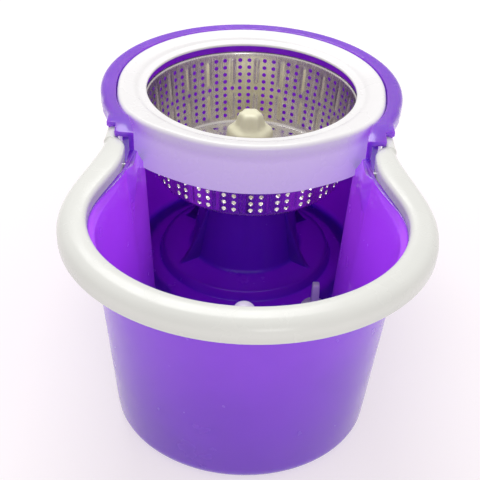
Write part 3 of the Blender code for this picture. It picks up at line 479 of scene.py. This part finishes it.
def spread(tree, value, from_low, from_high, to_low, to_high):
    """A value carried smoothly from one range to another, whose limits are numbers or sockets."""
    made = node(tree, "MapRange", interpolation_type="SMOOTHSTEP")
    for name, limit in zip(("From Min", "From Max", "To Min", "To Max"),
                           (from_low, from_high, to_low, to_high)):
        if isinstance(limit, (int, float)):
            made.inputs[name].default_value = limit
        else:
            tree.links.new(limit, made.inputs[name])
    tree.links.new(value, made.inputs["Value"])
    return made.outputs["Result"]


def blend_colours(tree, share, first, second):
    """A colour between two, each a colour or a socket."""
    made = node(tree, "Mix", data_type="RGBA")
    tree.links.new(share, made.inputs["Factor"])
    for place, colour in ((6, first), (7, second)):
        if isinstance(colour, tuple):
            made.inputs[place].default_value = (*colour, 1)
        else:
            tree.links.new(colour, made.inputs[place])
    return made.outputs[2]


def sockets(group, ins, outs):
    for name, kind in ins:
        group.interface.new_socket(name, in_out="INPUT", socket_type="NodeSocket" + kind)
    for name, kind in outs:
        group.interface.new_socket(name, in_out="OUTPUT", socket_type="NodeSocket" + kind)
    return group.nodes.new("NodeGroupInput"), group.nodes.new("NodeGroupOutput")


def moulded_group():
    """The skin of a moulded plastic: faint flow mottling, uneven gloss and fine orange peel."""
    group = bpy.data.node_groups.new("moulded_skin", "ShaderNodeTree")
    come, go = sockets(
        group,
        [("Vector", "Vector"), ("Colour", "Color"), ("Mottle", "Float"), ("Gloss", "Float"), ("Peel", "Float")],
        [("Colour", "Color"), ("Roughness", "Float"), ("Height", "Float")],
    )
    where = come.outputs["Vector"]
    flow = spread(group, noise(group, where, 14.0, 4.0), 0.3, 0.7, 0.0, 1.0)
    darker = node(group, "Mix", data_type="RGBA", blend_type="MULTIPLY")
    group.links.new(come.outputs["Mottle"], darker.inputs["Factor"])
    group.links.new(come.outputs["Colour"], darker.inputs[6])
    tone = node(group, "CombineColor")
    for channel in ("Red", "Green", "Blue"):
        group.links.new(flow, tone.inputs[channel])
    group.links.new(tone.outputs["Color"], darker.inputs[7])
    group.links.new(darker.outputs[2], go.inputs["Colour"])
    uneven = spread(group, noise(group, where, 46.0, 3.0), 0.3, 0.7, 0.82, 1.25)
    gloss = node(group, "Math", operation="MULTIPLY")
    group.links.new(uneven, gloss.inputs[0])
    group.links.new(come.outputs["Gloss"], gloss.inputs[1])
    group.links.new(gloss.outputs["Value"], go.inputs["Roughness"])
    group.links.new(noise(group, where, come.outputs["Peel"], 2.0), go.inputs["Height"])
    return group


MOULDED = moulded_group()


def moulded(name, colour_of, gloss=0.25, mottle=0.08, peel=900.0, bump=0.05, **shader_values):
    """A moulded plastic. colour_of(tree, where) gives its colour before the skin's mottling."""
    made = bpy.data.materials.new(name)
    made.use_nodes = True
    tree = made.node_tree
    shader = tree.nodes["Principled BSDF"]
    where = node(tree, "TexCoord").outputs["Object"]
    surface = node(tree, "Group", node_tree=MOULDED)
    tree.links.new(where, surface.inputs["Vector"])
    tree.links.new(colour_of(tree, where), surface.inputs["Colour"])
    surface.inputs["Mottle"].default_value = mottle
    surface.inputs["Gloss"].default_value = gloss
    surface.inputs["Peel"].default_value = peel
    tree.links.new(surface.outputs["Colour"], shader.inputs["Base Color"])
    tree.links.new(surface.outputs["Roughness"], shader.inputs["Roughness"])
    relief = node(tree, "Bump")
    relief.inputs["Strength"].default_value = bump
    relief.inputs["Distance"].default_value = 0.0005
    tree.links.new(surface.outputs["Height"], relief.inputs["Height"])
    tree.links.new(relief.outputs["Normal"], shader.inputs["Normal"])
    for socket, value in shader_values.items():
        shader.inputs[socket.replace("_", " ")].default_value = value
    return made


def axis(tree, where, name):
    apart = node(tree, "SeparateXYZ")
    tree.links.new(where, apart.inputs["Vector"])
    return apart.outputs[name]


def violet(tree, where):
    """Painted shade: deeper towards the floor and pedestal, low in the tub, and paler up the wall near the rim.
    """
    share = spread(tree, axis(tree, where, "Z"), 0.01, 0.17, 0.0, 1.0)
    return blend_colours(tree, share, (0.13, 0.018, 0.46), (0.22, 0.045, 0.68))


def painted_glow_through(made, share, colour, strength):
    """Painted light: an emission that stands in for daylight coming through a thin wall, where share(tree) is
    more than nothing.
    """
    tree = made.node_tree
    shader = tree.nodes["Principled BSDF"]
    tree.links.new(blend_colours(tree, share(tree), (0.0, 0.0, 0.0), colour), shader.inputs["Emission Color"])
    shader.inputs["Emission Strength"].default_value = strength


def painted_glow_on_inner_wall(tree):
    """Share of the painted glow: 1 on the wall's inner face above the floor, and 0 on the outside and the
    pedestal.
    """
    shape = node(tree, "NewGeometry")
    where = node(tree, "TexCoord").outputs["Object"]
    flat = node(tree, "VectorMath", operation="MULTIPLY")
    tree.links.new(where, flat.inputs[0])
    flat.inputs[1].default_value = (1.0, 0.55, 0.0)
    facing = node(tree, "VectorMath", operation="DOT_PRODUCT")
    tree.links.new(flat.outputs["Vector"], facing.inputs[0])
    tree.links.new(shape.outputs["Normal"], facing.inputs[1])
    inward = spread(tree, facing.outputs["Value"], -0.055, -0.085, 0.0, 1.0)
    # Painted shade within the glow: it fades lower down and towards the rear under the ring.
    raised = spread(tree, axis(tree, where, "Z"), 0.015, 0.14, 0.25, 1.0)
    sheltered = spread(tree, axis(tree, where, "Y"), -0.01, 0.08, 1.0, 0.12)
    share = inward
    for factor in (raised, sheltered):
        both = node(tree, "Math", operation="MULTIPLY")
        tree.links.new(share, both.inputs[0])
        tree.links.new(factor, both.inputs[1])
        share = both.outputs["Value"]
    return share


violet_plastic = moulded("violet_polypropylene", violet, gloss=0.22, mottle=0.10, Coat_Weight=0.35,
                         Coat_Roughness=0.10, Subsurface_Weight=0.7, Subsurface_Scale=0.02,
                         Subsurface_Radius=(0.7, 0.28, 1.0))
# Painted light: a violet glow on the tub's inner wall, in place of light coming through the thin wall.
painted_glow_through(violet_plastic, painted_glow_on_inner_wall, (0.54, 0.075, 1.0), 0.36)
settle(tub, violet_plastic, "violet_plastic", "bucket", "bucket_body")

# Carry handle
# A cream polypropylene bail in the shape of a horseshoe: an upside-down channel that lies on
# the tub's rim and swings up on two steel pins in the throat's walls.
HANDLE_TOP = TOP - 0.0050
HANDLE_FOOT = HANDLE_TOP - 0.0152
HANDLE_HALF_WIDTH, HANDLE_DEPTH = RIM_HALF_WIDTH + HANDLE_WIDTH, RIM_DEPTH + HANDLE_WIDTH


def handle_section(x, y, out_x, out_y):
    """The channel: short inner side, rounded crown, deeper outer side and the hollow under."""
    width = math.hypot(out_x - x, out_y - y)
    ux, uy = (out_x - x) / width, (out_y - y) / width
    rest, thick, edge = RIM + 0.0003, 0.0025, min(0.0095, width - 0.0043)
    corner = 0.0010 + 0.0027 * ease((width - 0.011) / 0.006)
    profile = [(0.0005, rest), (0.0003, HANDLE_TOP - corner - 0.0008)]
    profile += arc(corner + 0.0003, HANDLE_TOP - corner - 0.0005, corner, 180, 100, 5)
    profile += [(0.34 * width, HANDLE_TOP), (0.47 * width, HANDLE_TOP - 0.0002)]
    profile += arc(width - edge, HANDLE_TOP - edge - 0.0004, edge, 84, 0, 10)
    profile += [(width, HANDLE_FOOT + 0.0008)]
    profile += arc(width - 0.0008, HANDLE_FOOT + 0.0008, 0.0008, -20, -90, 2)
    profile += [(width - thick, HANDLE_FOOT + 0.0002), (width - thick, HANDLE_TOP - edge - 0.0008)]
    profile += [(width - 0.78 * edge, HANDLE_TOP - 0.0050), (0.5 * width, HANDLE_TOP - 0.0034)]
    profile += [(0.42 * width, HANDLE_TOP - 0.0036), (thick, HANDLE_TOP - 0.0062), (thick, rest)]
    return [(x + ux * u, y + uy * u, z) for u, z in profile]


def handle_rings():
    """Stations from the slim tongue beside the lip, round the corner and along the rim."""
    back, corner = RIDGE_Y - 0.0032, FLANK_Y + 0.0110
    reach = 0.0130
    stations = [(LEG_X + 0.0090, back - (back - corner - reach) * i / 5) for i in range(6)]
    for t in (0.995, 0.97, 0.92, 0.84, 0.72, 0.55, 0.3, 0.0):
        stations.append((LEG_X + 0.0090 * (1 - math.sqrt(1 - t * t)), corner + reach * t))
    for i in range(1, 25):
        y = corner + (TUB_Y - corner) * i / 24
        stations.append((flank(y, LEG_X, RIM_HALF_WIDTH, FLANK_Y), y))
    half = [(x, y, flank(y, LIP_X, HANDLE_HALF_WIDTH, RIDGE_Y - 0.010), y) for x, y in stations]
    for i in range(1, 41):
        a = math.pi / 2 * i / 40
        half.append((RIM_HALF_WIDTH * math.cos(a), TUB_Y - RIM_DEPTH * math.sin(a),
                     HANDLE_HALF_WIDTH * math.cos(a), TUB_Y - HANDLE_DEPTH * math.sin(a)))
    both = half + [(-a, b, -c, d) for a, b, c, d in reversed(half[:-1])]
    return [handle_section(*station) for station in both]


def slab(name, x, y, z, width=0.0006):
    """A rounded block from its bounds along each axis."""
    corners = [(x[0], y[0]), (x[1], y[0]), (x[1], y[1]), (x[0], y[1])]
    return block(name, [(corners, z[0]), (corners, z[1])], width)


handle = skin("handle_bail", handle_rings())
bosses, seats = [], []
for side in (1, -1):
    bosses.append(slab("boss", (side * (LEG_X + 0.0005), side * (LEG_X + 0.0110)),
                       (PIVOT_Y - 0.0065, PIVOT_Y + 0.0065), (PIVOT_Z - 0.0062, HANDLE_TOP - 0.002)))
    seats.append(rod("pin_seat", 0.0033, side * (LEG_X - 0.002), side * (LEG_X + 0.0086)))
unite(handle, bosses)
unite(handle, seats, "DIFFERENCE")
smooth_shade(handle, 40)


# Painted shade: the cream is darker towards the handle's foot, on the outer side that turns from the light, and
# lightest on the crown.
def cream(tree, where):
    share = spread(tree, axis(tree, where, "Z"), HANDLE_FOOT, HANDLE_TOP, 0.0, 1.0)
    return blend_colours(tree, share, (0.72, 0.74, 0.70), (0.88, 0.90, 0.85))


cream_plastic = moulded("cream_polypropylene", cream, gloss=0.24, mottle=0.03, peel=1100.0, bump=0.03)
settle(handle, cream_plastic, "cream_plastic", "handle", "carry_handle")

# Splash ring
# A loose white ring that drops into the collar and holds spray in. It dips to a rounded inner
# lip over the basket, and a thin skirt, which the violet tub shows through, hangs at the front.
RING_HOLE, RING_RADIUS = 0.0917, 0.1163
LIP_Z = TOP - 0.0049


def ring_section(angle, drop):
    """Section from the inner lip over the dished top to the outer edge, which hangs by drop."""
    outer = RING_RADIUS + shoulder(abs(angle))
    profile = arc(RING_HOLE + 0.0014, LIP_Z - 0.0016, 0.0014, 250, 90, 8)
    profile += [(RING_HOLE + 0.0040, LIP_Z - 0.0004), (RING_HOLE + 0.0065, TOP - 0.0049)]
    profile += [(RING_HOLE + 0.0080, TOP - 0.0042), (RING_HOLE + 0.0092, TOP - 0.0030)]
    profile += [(RING_HOLE + 0.0125, TOP - 0.0020), (outer - 0.0062, TOP - 0.0004)]
    profile += arc(outer - 0.0036, TOP - 0.0036, 0.0036, 100, 0, 8)
    profile += [(outer, TOP - 0.5 * drop), (outer, TOP - drop + 0.0006)]
    profile += [(outer - 0.0006, TOP - drop), (outer - 0.0016, TOP - drop)]
    profile += [(outer - 0.0020, TOP - drop + 0.0006), (outer - 0.0022, TOP - 0.0062)]
    profile += [(outer - 0.0042, TOP - 0.0042), (RING_HOLE + 0.0130, TOP - 0.0046)]
    profile += [(RING_HOLE + 0.0060, LIP_Z - 0.0022)]
    return [(r * math.sin(angle), SPIN_Y - r * math.cos(angle), z) for r, z in profile]


def ring_rings():
    skirt = [SKIRT * (-1 + 2 * i / 64) for i in range(65)]
    around = 2 * (math.pi - SKIRT)
    rest = [SKIRT + around * i / 126 for i in range(1, 64)]
    rest += [-SKIRT - around * i / 126 for i in range(62, 0, -1)]
    rings = [ring_section(a, 0.043) for a in skirt]
    rings.insert(0, ring_section(-SKIRT - 0.004, 0.0085))
    rings.append(ring_section(SKIRT + 0.004, 0.0085))
    return rings + [ring_section(a, 0.0085) for a in rest]


ring = skin("splash_ring_moulding", ring_rings(), looped=True)
smooth_shade(ring, 38)


def white_with_painted_lilac(tree, where):
    """White on top, and lilac in the hanging skirt: painted violet light that the thin wall lets through from
    the tub.
    """
    share = spread(tree, axis(tree, where, "Z"), TOP - 0.014, TOP - 0.005, 0.0, 1.0)
    return blend_colours(tree, share, (0.75, 0.66, 0.84), (0.98, 0.98, 0.98))


# Share of the painted glow: none on top, full down the hanging skirt.
def painted_glow_in_skirt(tree):
    where = node(tree, "TexCoord").outputs["Object"]
    return spread(tree, axis(tree, where, "Z"), TOP - 0.006, TOP - 0.016, 0.0, 1.0)


white_plastic = moulded("milk_white_polypropylene", white_with_painted_lilac, gloss=0.26, mottle=0.03, peel=1000.0)
# Painted light: a pale glow in the skirt, in place of light passing through its thin wall.
painted_glow_through(white_plastic, painted_glow_in_skirt, (0.98, 0.94, 1.0), 0.17)
settle(ring, white_plastic, "white_plastic", "ring", "splash_ring")

# Spinning basket
# Stainless sheet, punched with round holes and pressed with short ribs while flat, then drawn
# to a cup with a rolled rim, a fluted floor and a few slots that let the water out.
SECTORS = 24
BASKET_TOP, BASKET_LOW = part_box("spin_basket")[1].z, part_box("spin_basket")[0].z
SHEET = 0.0006
PITCH, ROWS = 0.00705, 9
FIRST_ROW = BASKET_TOP - 0.0078 + PITCH / 2
LAST_ROW = FIRST_ROW - ROWS * PITCH
HOLE = 0.0020
SPREAD = 0.0236  # width of one sector on the wall
columns = [0.0]
for wide in (0.000875, 0.0010, 0.0018, 0.00145, 0.0018, 0.0010,
             0.001975, 0.0012, 0.0014, 0.0012, 0.001975,
             0.0010, 0.0018, 0.00145, 0.0018, 0.0010, 0.000875):
    columns.append(columns[-1] + wide)
columns = [value - columns[-1] / 2 for value in columns]


def wall_radius(z):
    return 0.0860 + (0.0916 - 0.0860) * (z - LAST_ROW) / (FIRST_ROW - LAST_ROW)


def basket_profile():
    """(radius, z) of the sheet from the rolled rim's tip down the wall to the floor's bore."""
    bead = BASKET_TOP - 0.0019
    profile = arc(0.0936, bead, 0.0019 - SHEET / 2, -150, 180, 14)
    for i in range(ROWS * 5 + 1):
        z = FIRST_ROW - (FIRST_ROW - LAST_ROW) * i / (ROWS * 5)
        profile.append((wall_radius(z), z))
    corner = 0.0042
    profile += arc(0.0860 - corner, BASKET_LOW + corner + SHEET / 2, corner, -8, -90, 6)
    flat = BASKET_LOW + SHEET / 2
    for radius in (0.0790, 0.0770, 0.0758, 0.0740, 0.0722, 0.0700, 0.062, 0.052, 0.042, 0.034, 0.026, 0.018):
        profile.append((radius, flat))
    return profile


PROFILE = basket_profile()
RIM_STEPS = 15


def flat_sector():
    """One flat blank, a grid with a column for each value above and a row for each step."""
    bpy.ops.object.select_all(action="DESELECT")
    bpy.ops.mesh.primitive_grid_add(x_subdivisions=len(columns) - 1, y_subdivisions=len(PROFILE) - 1, size=1)
    blank = bpy.context.object
    blank.name = blank.data.name = "perforated_basket"
    return blank


def row_of(vertex):
    return round((0.5 - vertex.co.y) * (len(PROFILE) - 1))


def column_of(vertex):
    return round((vertex.co.x + 0.5) * (len(columns) - 1))


def punched(column, row):
    """Whether the small cell whose lower column and row these are is inside a hole."""
    if column in (2, 3, 4):
        across = 0
    elif column in (7, 8, 9):
        across = 1
    elif column in (12, 13, 14):
        across = 2
    else:
        return False
    line, part = divmod(row - RIM_STEPS, 5)
    if not (0 <= line < ROWS and 1 <= part <= 3):
        return False
    return line == 4 if across == 1 else True


blank = flat_sector()
mesh = bmesh.new()
mesh.from_mesh(blank.data)
cells = {}
for face in mesh.faces:
    column = min(column_of(v) for v in face.verts)
    row = min(row_of(v) for v in face.verts)
    cells[face] = (column, row)
where = {v: (column_of(v), row_of(v)) for v in mesh.verts}
slots_at = len(PROFILE) - 12
gone = [face for face, (column, row) in cells.items() if punched(column, row)]
gone += [face for face, (column, row) in cells.items()
         if column in (7, 8, 9) and row in (slots_at + 1, slots_at + 2)]
holes = {}
for face in gone:
    column, row = cells[face]
    holes.setdefault((column // 5, (row - RIM_STEPS) // 5 if row < slots_at else -1), []).append(face)
rims = {}
for key, faces in holes.items():
    if key[1] < 0:
        continue
    around = {}
    for face in faces:
        for v in face.verts:
            around[v] = None
    spots = [(columns[where[v][0]], where[v][1]) for v in around]
    across = (min(s[0] for s in spots) + max(s[0] for s in spots)) / 2
    along = (min(s[1] for s in spots) + max(s[1] for s in spots)) / 2
    for v in around:
        rims[v] = (across, along)
bmesh.ops.delete(mesh, geom=gone, context="FACES")
lengths = [0.0]
for (ar, az), (br, bz) in zip(PROFILE, PROFILE[1:]):
    lengths.append(lengths[-1] + math.hypot(br - ar, bz - az))


def on_profile(along):
    """(radius, z, outward normal) of the sheet at this length from the rim's tip."""
    k = next((i for i, length in enumerate(lengths[1:]) if along <= length), len(lengths) - 2)
    t = (along - lengths[k]) / (lengths[k + 1] - lengths[k])
    (ar, az), (br, bz) = PROFILE[k], PROFILE[k + 1]
    dr, dz = (br - ar) / (lengths[k + 1] - lengths[k]), (bz - az) / (lengths[k + 1] - lengths[k])
    return ar + (br - ar) * t, az + (bz - az) * t, -dz, dr


def rib_height(across, row):
    """How far the sheet is pressed inwards here: short wall ribs and the floor's flutes."""
    near = max(0.0, 1 - abs(across) / 0.0019)
    line = (row - RIM_STEPS) / 5
    if 0.35 < line < 3.85 or 5.35 < line < 8.85:
        end = min(abs(line - e) for e in (0.2, 4.0, 5.2, 9.0))
        return 0.0009 * near * min(1.0, end / 0.35)
    if row > slots_at + 4:
        return 0.0008 * near
    return 0.0


def rolled(v, sector):
    column, row = where[v]
    across, along = columns[column], lengths[row]
    height = rib_height(across, row)
    if v in rims:
        middle_across, middle_row = rims[v]
        low, high = lengths[int(middle_row - 1.5)], lengths[int(middle_row + 1.5)]
        middle_along = (low + high) / 2
        dx, dy = across - middle_across, along - middle_along
        size = math.hypot(dx, dy)
        across = middle_across + dx / size * HOLE
        along = middle_along + dy / size * HOLE
        height = 0.0
    radius, z, nr, nz = on_profile(along)
    turn = math.radians(87 + 15 * sector) - across / SPREAD * math.radians(15)
    radius -= nr * height
    z -= nz * height
    return Vector((radius * math.cos(turn), SPIN_Y + radius * math.sin(turn), z))


flat = bmesh.new()
for sector in range(SECTORS):
    points = {v: flat.verts.new(rolled(v, sector)) for v in mesh.verts if v.link_faces}
    for face in mesh.faces:
        flat.faces.new([points[v] for v in face.verts])
flat.to_mesh(blank.data)
flat.free()
mesh.free()
bpy.ops.object.mode_set(mode="EDIT")
bpy.ops.mesh.select_all(action="SELECT")
bpy.ops.mesh.remove_doubles(threshold=0.00002)
bpy.ops.mesh.normals_make_consistent(inside=False)
bpy.ops.object.mode_set(mode="OBJECT")
apply_modifier(blank, "SOLIDIFY", thickness=SHEET, offset=0.0, use_even_offset=True)
smooth_shade(blank, 50)


def steel(name, colour, roughness, streak=220.0, bump=0.03, flow=(1.0, 1.0, 0.04)):
    """A bare metal with fine drawing lines along the flow and a little uneven tint."""
    made = bpy.data.materials.new(name)
    made.use_nodes = True
    tree = made.node_tree
    shader = tree.nodes["Principled BSDF"]
    shader.inputs["Metallic"].default_value = 1.0
    where = node(tree, "TexCoord").outputs["Object"]
    stretch = node(tree, "Mapping")
    stretch.inputs["Scale"].default_value = flow
    tree.links.new(where, stretch.inputs["Vector"])
    lines = noise(tree, stretch.outputs["Vector"], streak * 4, 3.0)
    tint = spread(tree, noise(tree, where, 30.0, 3.0), 0.3, 0.7, 0.0, 1.0)
    darker = tuple(0.86 * channel for channel in colour)
    tree.links.new(blend_colours(tree, tint, darker, colour), shader.inputs["Base Color"])
    tree.links.new(spread(tree, lines, 0.3, 0.7, 0.8 * roughness, 1.3 * roughness), shader.inputs["Roughness"])
    relief = node(tree, "Bump")
    relief.inputs["Strength"].default_value = bump
    relief.inputs["Distance"].default_value = 0.0003
    tree.links.new(lines, relief.inputs["Height"])
    tree.links.new(relief.outputs["Normal"], shader.inputs["Normal"])
    return made


stainless = steel("drawn_stainless", (0.84, 0.81, 0.77), 0.23)
settle(blank, stainless, "stainless_steel", "spinner", "spin_basket")

# Drive post
# A stout ivory nylon post in the middle of the basket. Its lobed top fits the socket of a mop
# head, and pushing the mop down on it turns the basket. Four screws hold it from below.
POST_FOOT, POST_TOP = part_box("drive_post")[0].z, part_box("drive_post")[1].z


def post_ring(radius, z, lobes, count=6):
    places = []
    for i in range(96):
        a = math.tau * i / 96
        r = radius * (1 + lobes * math.cos(count * a))
        places.append((r * math.cos(a), SPIN_Y + r * math.sin(a), z))
    return places


def post_rings():
    shape = [(0.0, 0.0236, 0.0), (0.0006, 0.0240, 0.0), (0.004, 0.0240, 0.0), (0.010, 0.0229, 0.0),
             (0.018, 0.0216, 0.0), (0.028, 0.0208, 0.01), (0.0345, 0.0203, 0.03), (0.0368, 0.0198, 0.04),
             (0.0386, 0.0188, 0.055), (0.0398, 0.0170, 0.06), (0.0408, 0.0148, 0.07), (0.0422, 0.0131, 0.08),
             (0.044, 0.0121, 0.085), (0.0465, 0.0115, 0.085), (0.0490, 0.0109, 0.085), (0.0512, 0.0103, 0.08),
             (0.0528, 0.0095, 0.075), (0.0538, 0.0082, 0.06), (0.0543, 0.0062, 0.04), (0.0543, 0.0020, 0.0)]
    return [post_ring(radius, POST_FOOT + rise, lobes) for rise, radius, lobes in shape]


drive_post = skin("drive_post_moulding", post_rings())
bores = [turned("shaft_bore", [(0.0043, POST_FOOT - 0.01), (0.0043, POST_FOOT + 0.0206)], 32)]
for i in range(4):
    a = math.tau * (i + 0.5) / 4
    bores.append(turned("screw_bore", [(0.0021, POST_FOOT - 0.01), (0.0021, POST_FOOT + 0.0165)],
                        16, 0.016 * math.cos(a), SPIN_Y + 0.016 * math.sin(a)))
unite(drive_post, bores, "DIFFERENCE")
smooth_shade(drive_post, 50)


# Painted shade: the ivory is darker towards the post's foot, down in the basket, and lightest at its top.
def ivory(tree, where):
    share = spread(tree, axis(tree, where, "Z"), POST_FOOT, POST_TOP, 0.0, 1.0)
    return blend_colours(tree, share, (0.86, 0.83, 0.56), (0.98, 0.96, 0.70))


ivory_plastic = moulded("ivory_nylon", ivory, gloss=0.34, mottle=0.07, peel=700.0, bump=0.08)
settle(drive_post, ivory_plastic, "ivory_plastic", "spinner", "drive_post")

# Hub, shaft, bearing and bush
# Under the basket a nylon hub plate spreads the screws' load. The ground steel shaft turns in
# a ball bearing pressed in the pedestal's top and in a nylon bush at the foot of its tube.


def plain(colour):
    return lambda tree, where: blend_colours(
        tree, spread(tree, noise(tree, where, 90.0, 3.0), 0.3, 0.7, 0.0, 1.0),
        tuple(0.93 * channel for channel in colour), colour)


natural_nylon = moulded("natural_nylon", plain((0.80, 0.78, 0.71)), gloss=0.42, mottle=0.06)
ground_steel = steel("ground_steel", (0.60, 0.61, 0.63), 0.18, flow=(1.0, 1.0, 12.0))
kept = {
    natural_nylon: ["hub_plate", "bearing_cage", "lower_bush"],
    ground_steel: ["axle_shaft", "bearing_inner_race", "bearing_outer_race", "retaining_clip",
                   "thrust_washer", "handle_pin_left", "handle_pin_right", "rinse_pin"]
    + [f"bearing_ball_{i}" for i in range(1, 8)] + [f"post_screw_{i}" for i in range(1, 5)],
}
for finish, names in kept.items():
    for name in names:
        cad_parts[name].data.materials.clear()
        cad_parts[name].data.materials.append(finish)

# Rinse post's cap
# A white domed cap on a steel pin: the mop head is set on it in the water and spins freely.
cap = turned(
    "rinse_cap_moulding",
    [(0.0029, CAP_FOOT + 0.0003), (0.0080, CAP_FOOT + 0.0003), (0.0085, CAP_FOOT + 0.0008)]
    + [(0.0085, RINSE_TOP - 0.0058)]
    + [(0.0085 * math.cos(a), RINSE_TOP - 0.0058 + 0.0058 * math.sin(a))
       for a in [math.radians(9 * i) for i in range(1, 10)]]
    + [(0.0003, RINSE_TOP)],
    48, 0.0, TUB_Y,
)
unite(cap, [turned("cap_bore", [(0.0029, CAP_FOOT - 0.002), (0.0029, RINSE_TOP - 0.0042)], 32, 0.0, TUB_Y)],
      "DIFFERENCE")
smooth_shade(cap, 45)
cap_plastic = moulded("white_acetal", plain((0.90, 0.90, 0.90)), gloss=0.24, mottle=0.03)
settle(cap, cap_plastic, "white_plastic", "rinse_cap", "rinse_cap")

# Drain plug and its gasket
# A white stopper with a flat finger grip sits on a rubber gasket in the floor's drain hole.
PLUG_LOW, PLUG_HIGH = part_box("drain_plug")
GASKET_LOW, GASKET_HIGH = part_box("drain_gasket")
seat = GASKET_HIGH.z + 0.0003
plug = turned(
    "drain_plug_moulding",
    [(0.0060, PLUG_LOW.z), (0.0074, PLUG_LOW.z + 0.0018), (0.0079, PLUG_LOW.z + 0.0030), (0.0079, seat)]
    + [(0.0113, seat)] + arc(0.0109, seat + 0.0014, 0.0008, 0, 90, 3) + [(0.0085, seat + 0.0026)]
    + arc(0.0068, seat + 0.0036, 0.0010, 300, 200, 3),
    48, DRAIN.x, DRAIN.y,
)
grip_layers = []
for share, length, half in ((0.03, 0.0062, 0.0034), (0.35, 0.0061, 0.0033), (0.7, 0.0052, 0.0033),
                            (0.92, 0.0040, 0.0032), (1.0, 0.0028, 0.0028)):
    z = seat + share * (PLUG_HIGH.z - seat)
    grip_layers.append(([(DRAIN.x + half * a, DRAIN.y + length * b)
                         for a, b in ((-1, -1), (1, -1), (1, 1), (-1, 1))], z))
unite(plug, [block("grip", grip_layers, 0.0009)])
smooth_shade(plug, 45)
settle(plug, cap_plastic, "white_plastic", "drain_plug", "drain_plug")
gasket = turned(
    "drain_gasket_ring",
    arc((GASKET_LOW.x + GASKET_HIGH.x) / 2 - DRAIN.x + 0.0102, (GASKET_LOW.z + GASKET_HIGH.z) / 2,
        0.00069, 0, 330, 11),
    48, DRAIN.x, DRAIN.y, looped=True,
)
smooth_shade(gasket, 60)
black_rubber = moulded("black_rubber", plain((0.030, 0.030, 0.032)), gloss=0.62, mottle=0.2, bump=0.2)
settle(gasket, black_rubber, "black_rubber", "bucket", "drain_gasket")

# Studio: a pale floor that runs into the white surroundings, soft lights and the camera
bpy.ops.object.select_all(action="DESELECT")
bpy.ops.mesh.primitive_plane_add(size=400)
floor = bpy.context.object
floor.name = "studio_floor"
paper = bpy.data.materials.new("pale_paper")
paper.use_nodes = True
paper.node_tree.nodes["Principled BSDF"].inputs["Base Color"].default_value = (0.50, 0.49, 0.49, 1)
paper.node_tree.nodes["Principled BSDF"].inputs["Roughness"].default_value = 0.9
paper.node_tree.nodes["Principled BSDF"].inputs["Emission Color"].default_value = (1.0, 0.94, 0.95, 1)
paper.node_tree.nodes["Principled BSDF"].inputs["Emission Strength"].default_value = 0.58
floor.data.materials.append(paper)

world = bpy.data.worlds.new("white_studio")
world.use_nodes = True
world.node_tree.nodes["Background"].inputs["Color"].default_value = (1.0, 0.965, 0.972, 1)
world.node_tree.nodes["Background"].inputs["Strength"].default_value = 0.64
bpy.context.scene.world = world
bpy.context.scene.view_settings.view_transform = "Standard"


def soft_light(name, place, target, size, power):
    lamp = bpy.data.lights.new(name, "AREA")
    lamp.size, lamp.energy = size, power
    made = bpy.data.objects.new(name, lamp)
    bpy.context.scene.collection.objects.link(made)
    made.location = place
    made.rotation_euler = (Vector(target) - Vector(place)).to_track_quat("-Z", "Y").to_euler()


soft_light("front_softbox", (0.35, -1.5, 0.75), (0, 0.10, 0.12), 0.45, 2.5)
soft_light("top_softbox", (-0.15, 0.75, 1.35), (0, 0.05, 0.1), 0.8, 9)

camera = bpy.data.cameras.new("camera")
camera.lens, camera.sensor_width = 66.405, 36
stand = bpy.data.objects.new("camera", camera)
bpy.context.scene.collection.objects.link(stand)
stand.matrix_world = (
    Matrix.Translation((-0.0052, -0.6146, 0.5252))
    @ Matrix.Rotation(math.radians(54.3), 4, "X")
    @ Matrix.Rotation(math.radians(2.2), 4, "Z")
)
bpy.context.scene.camera = stand
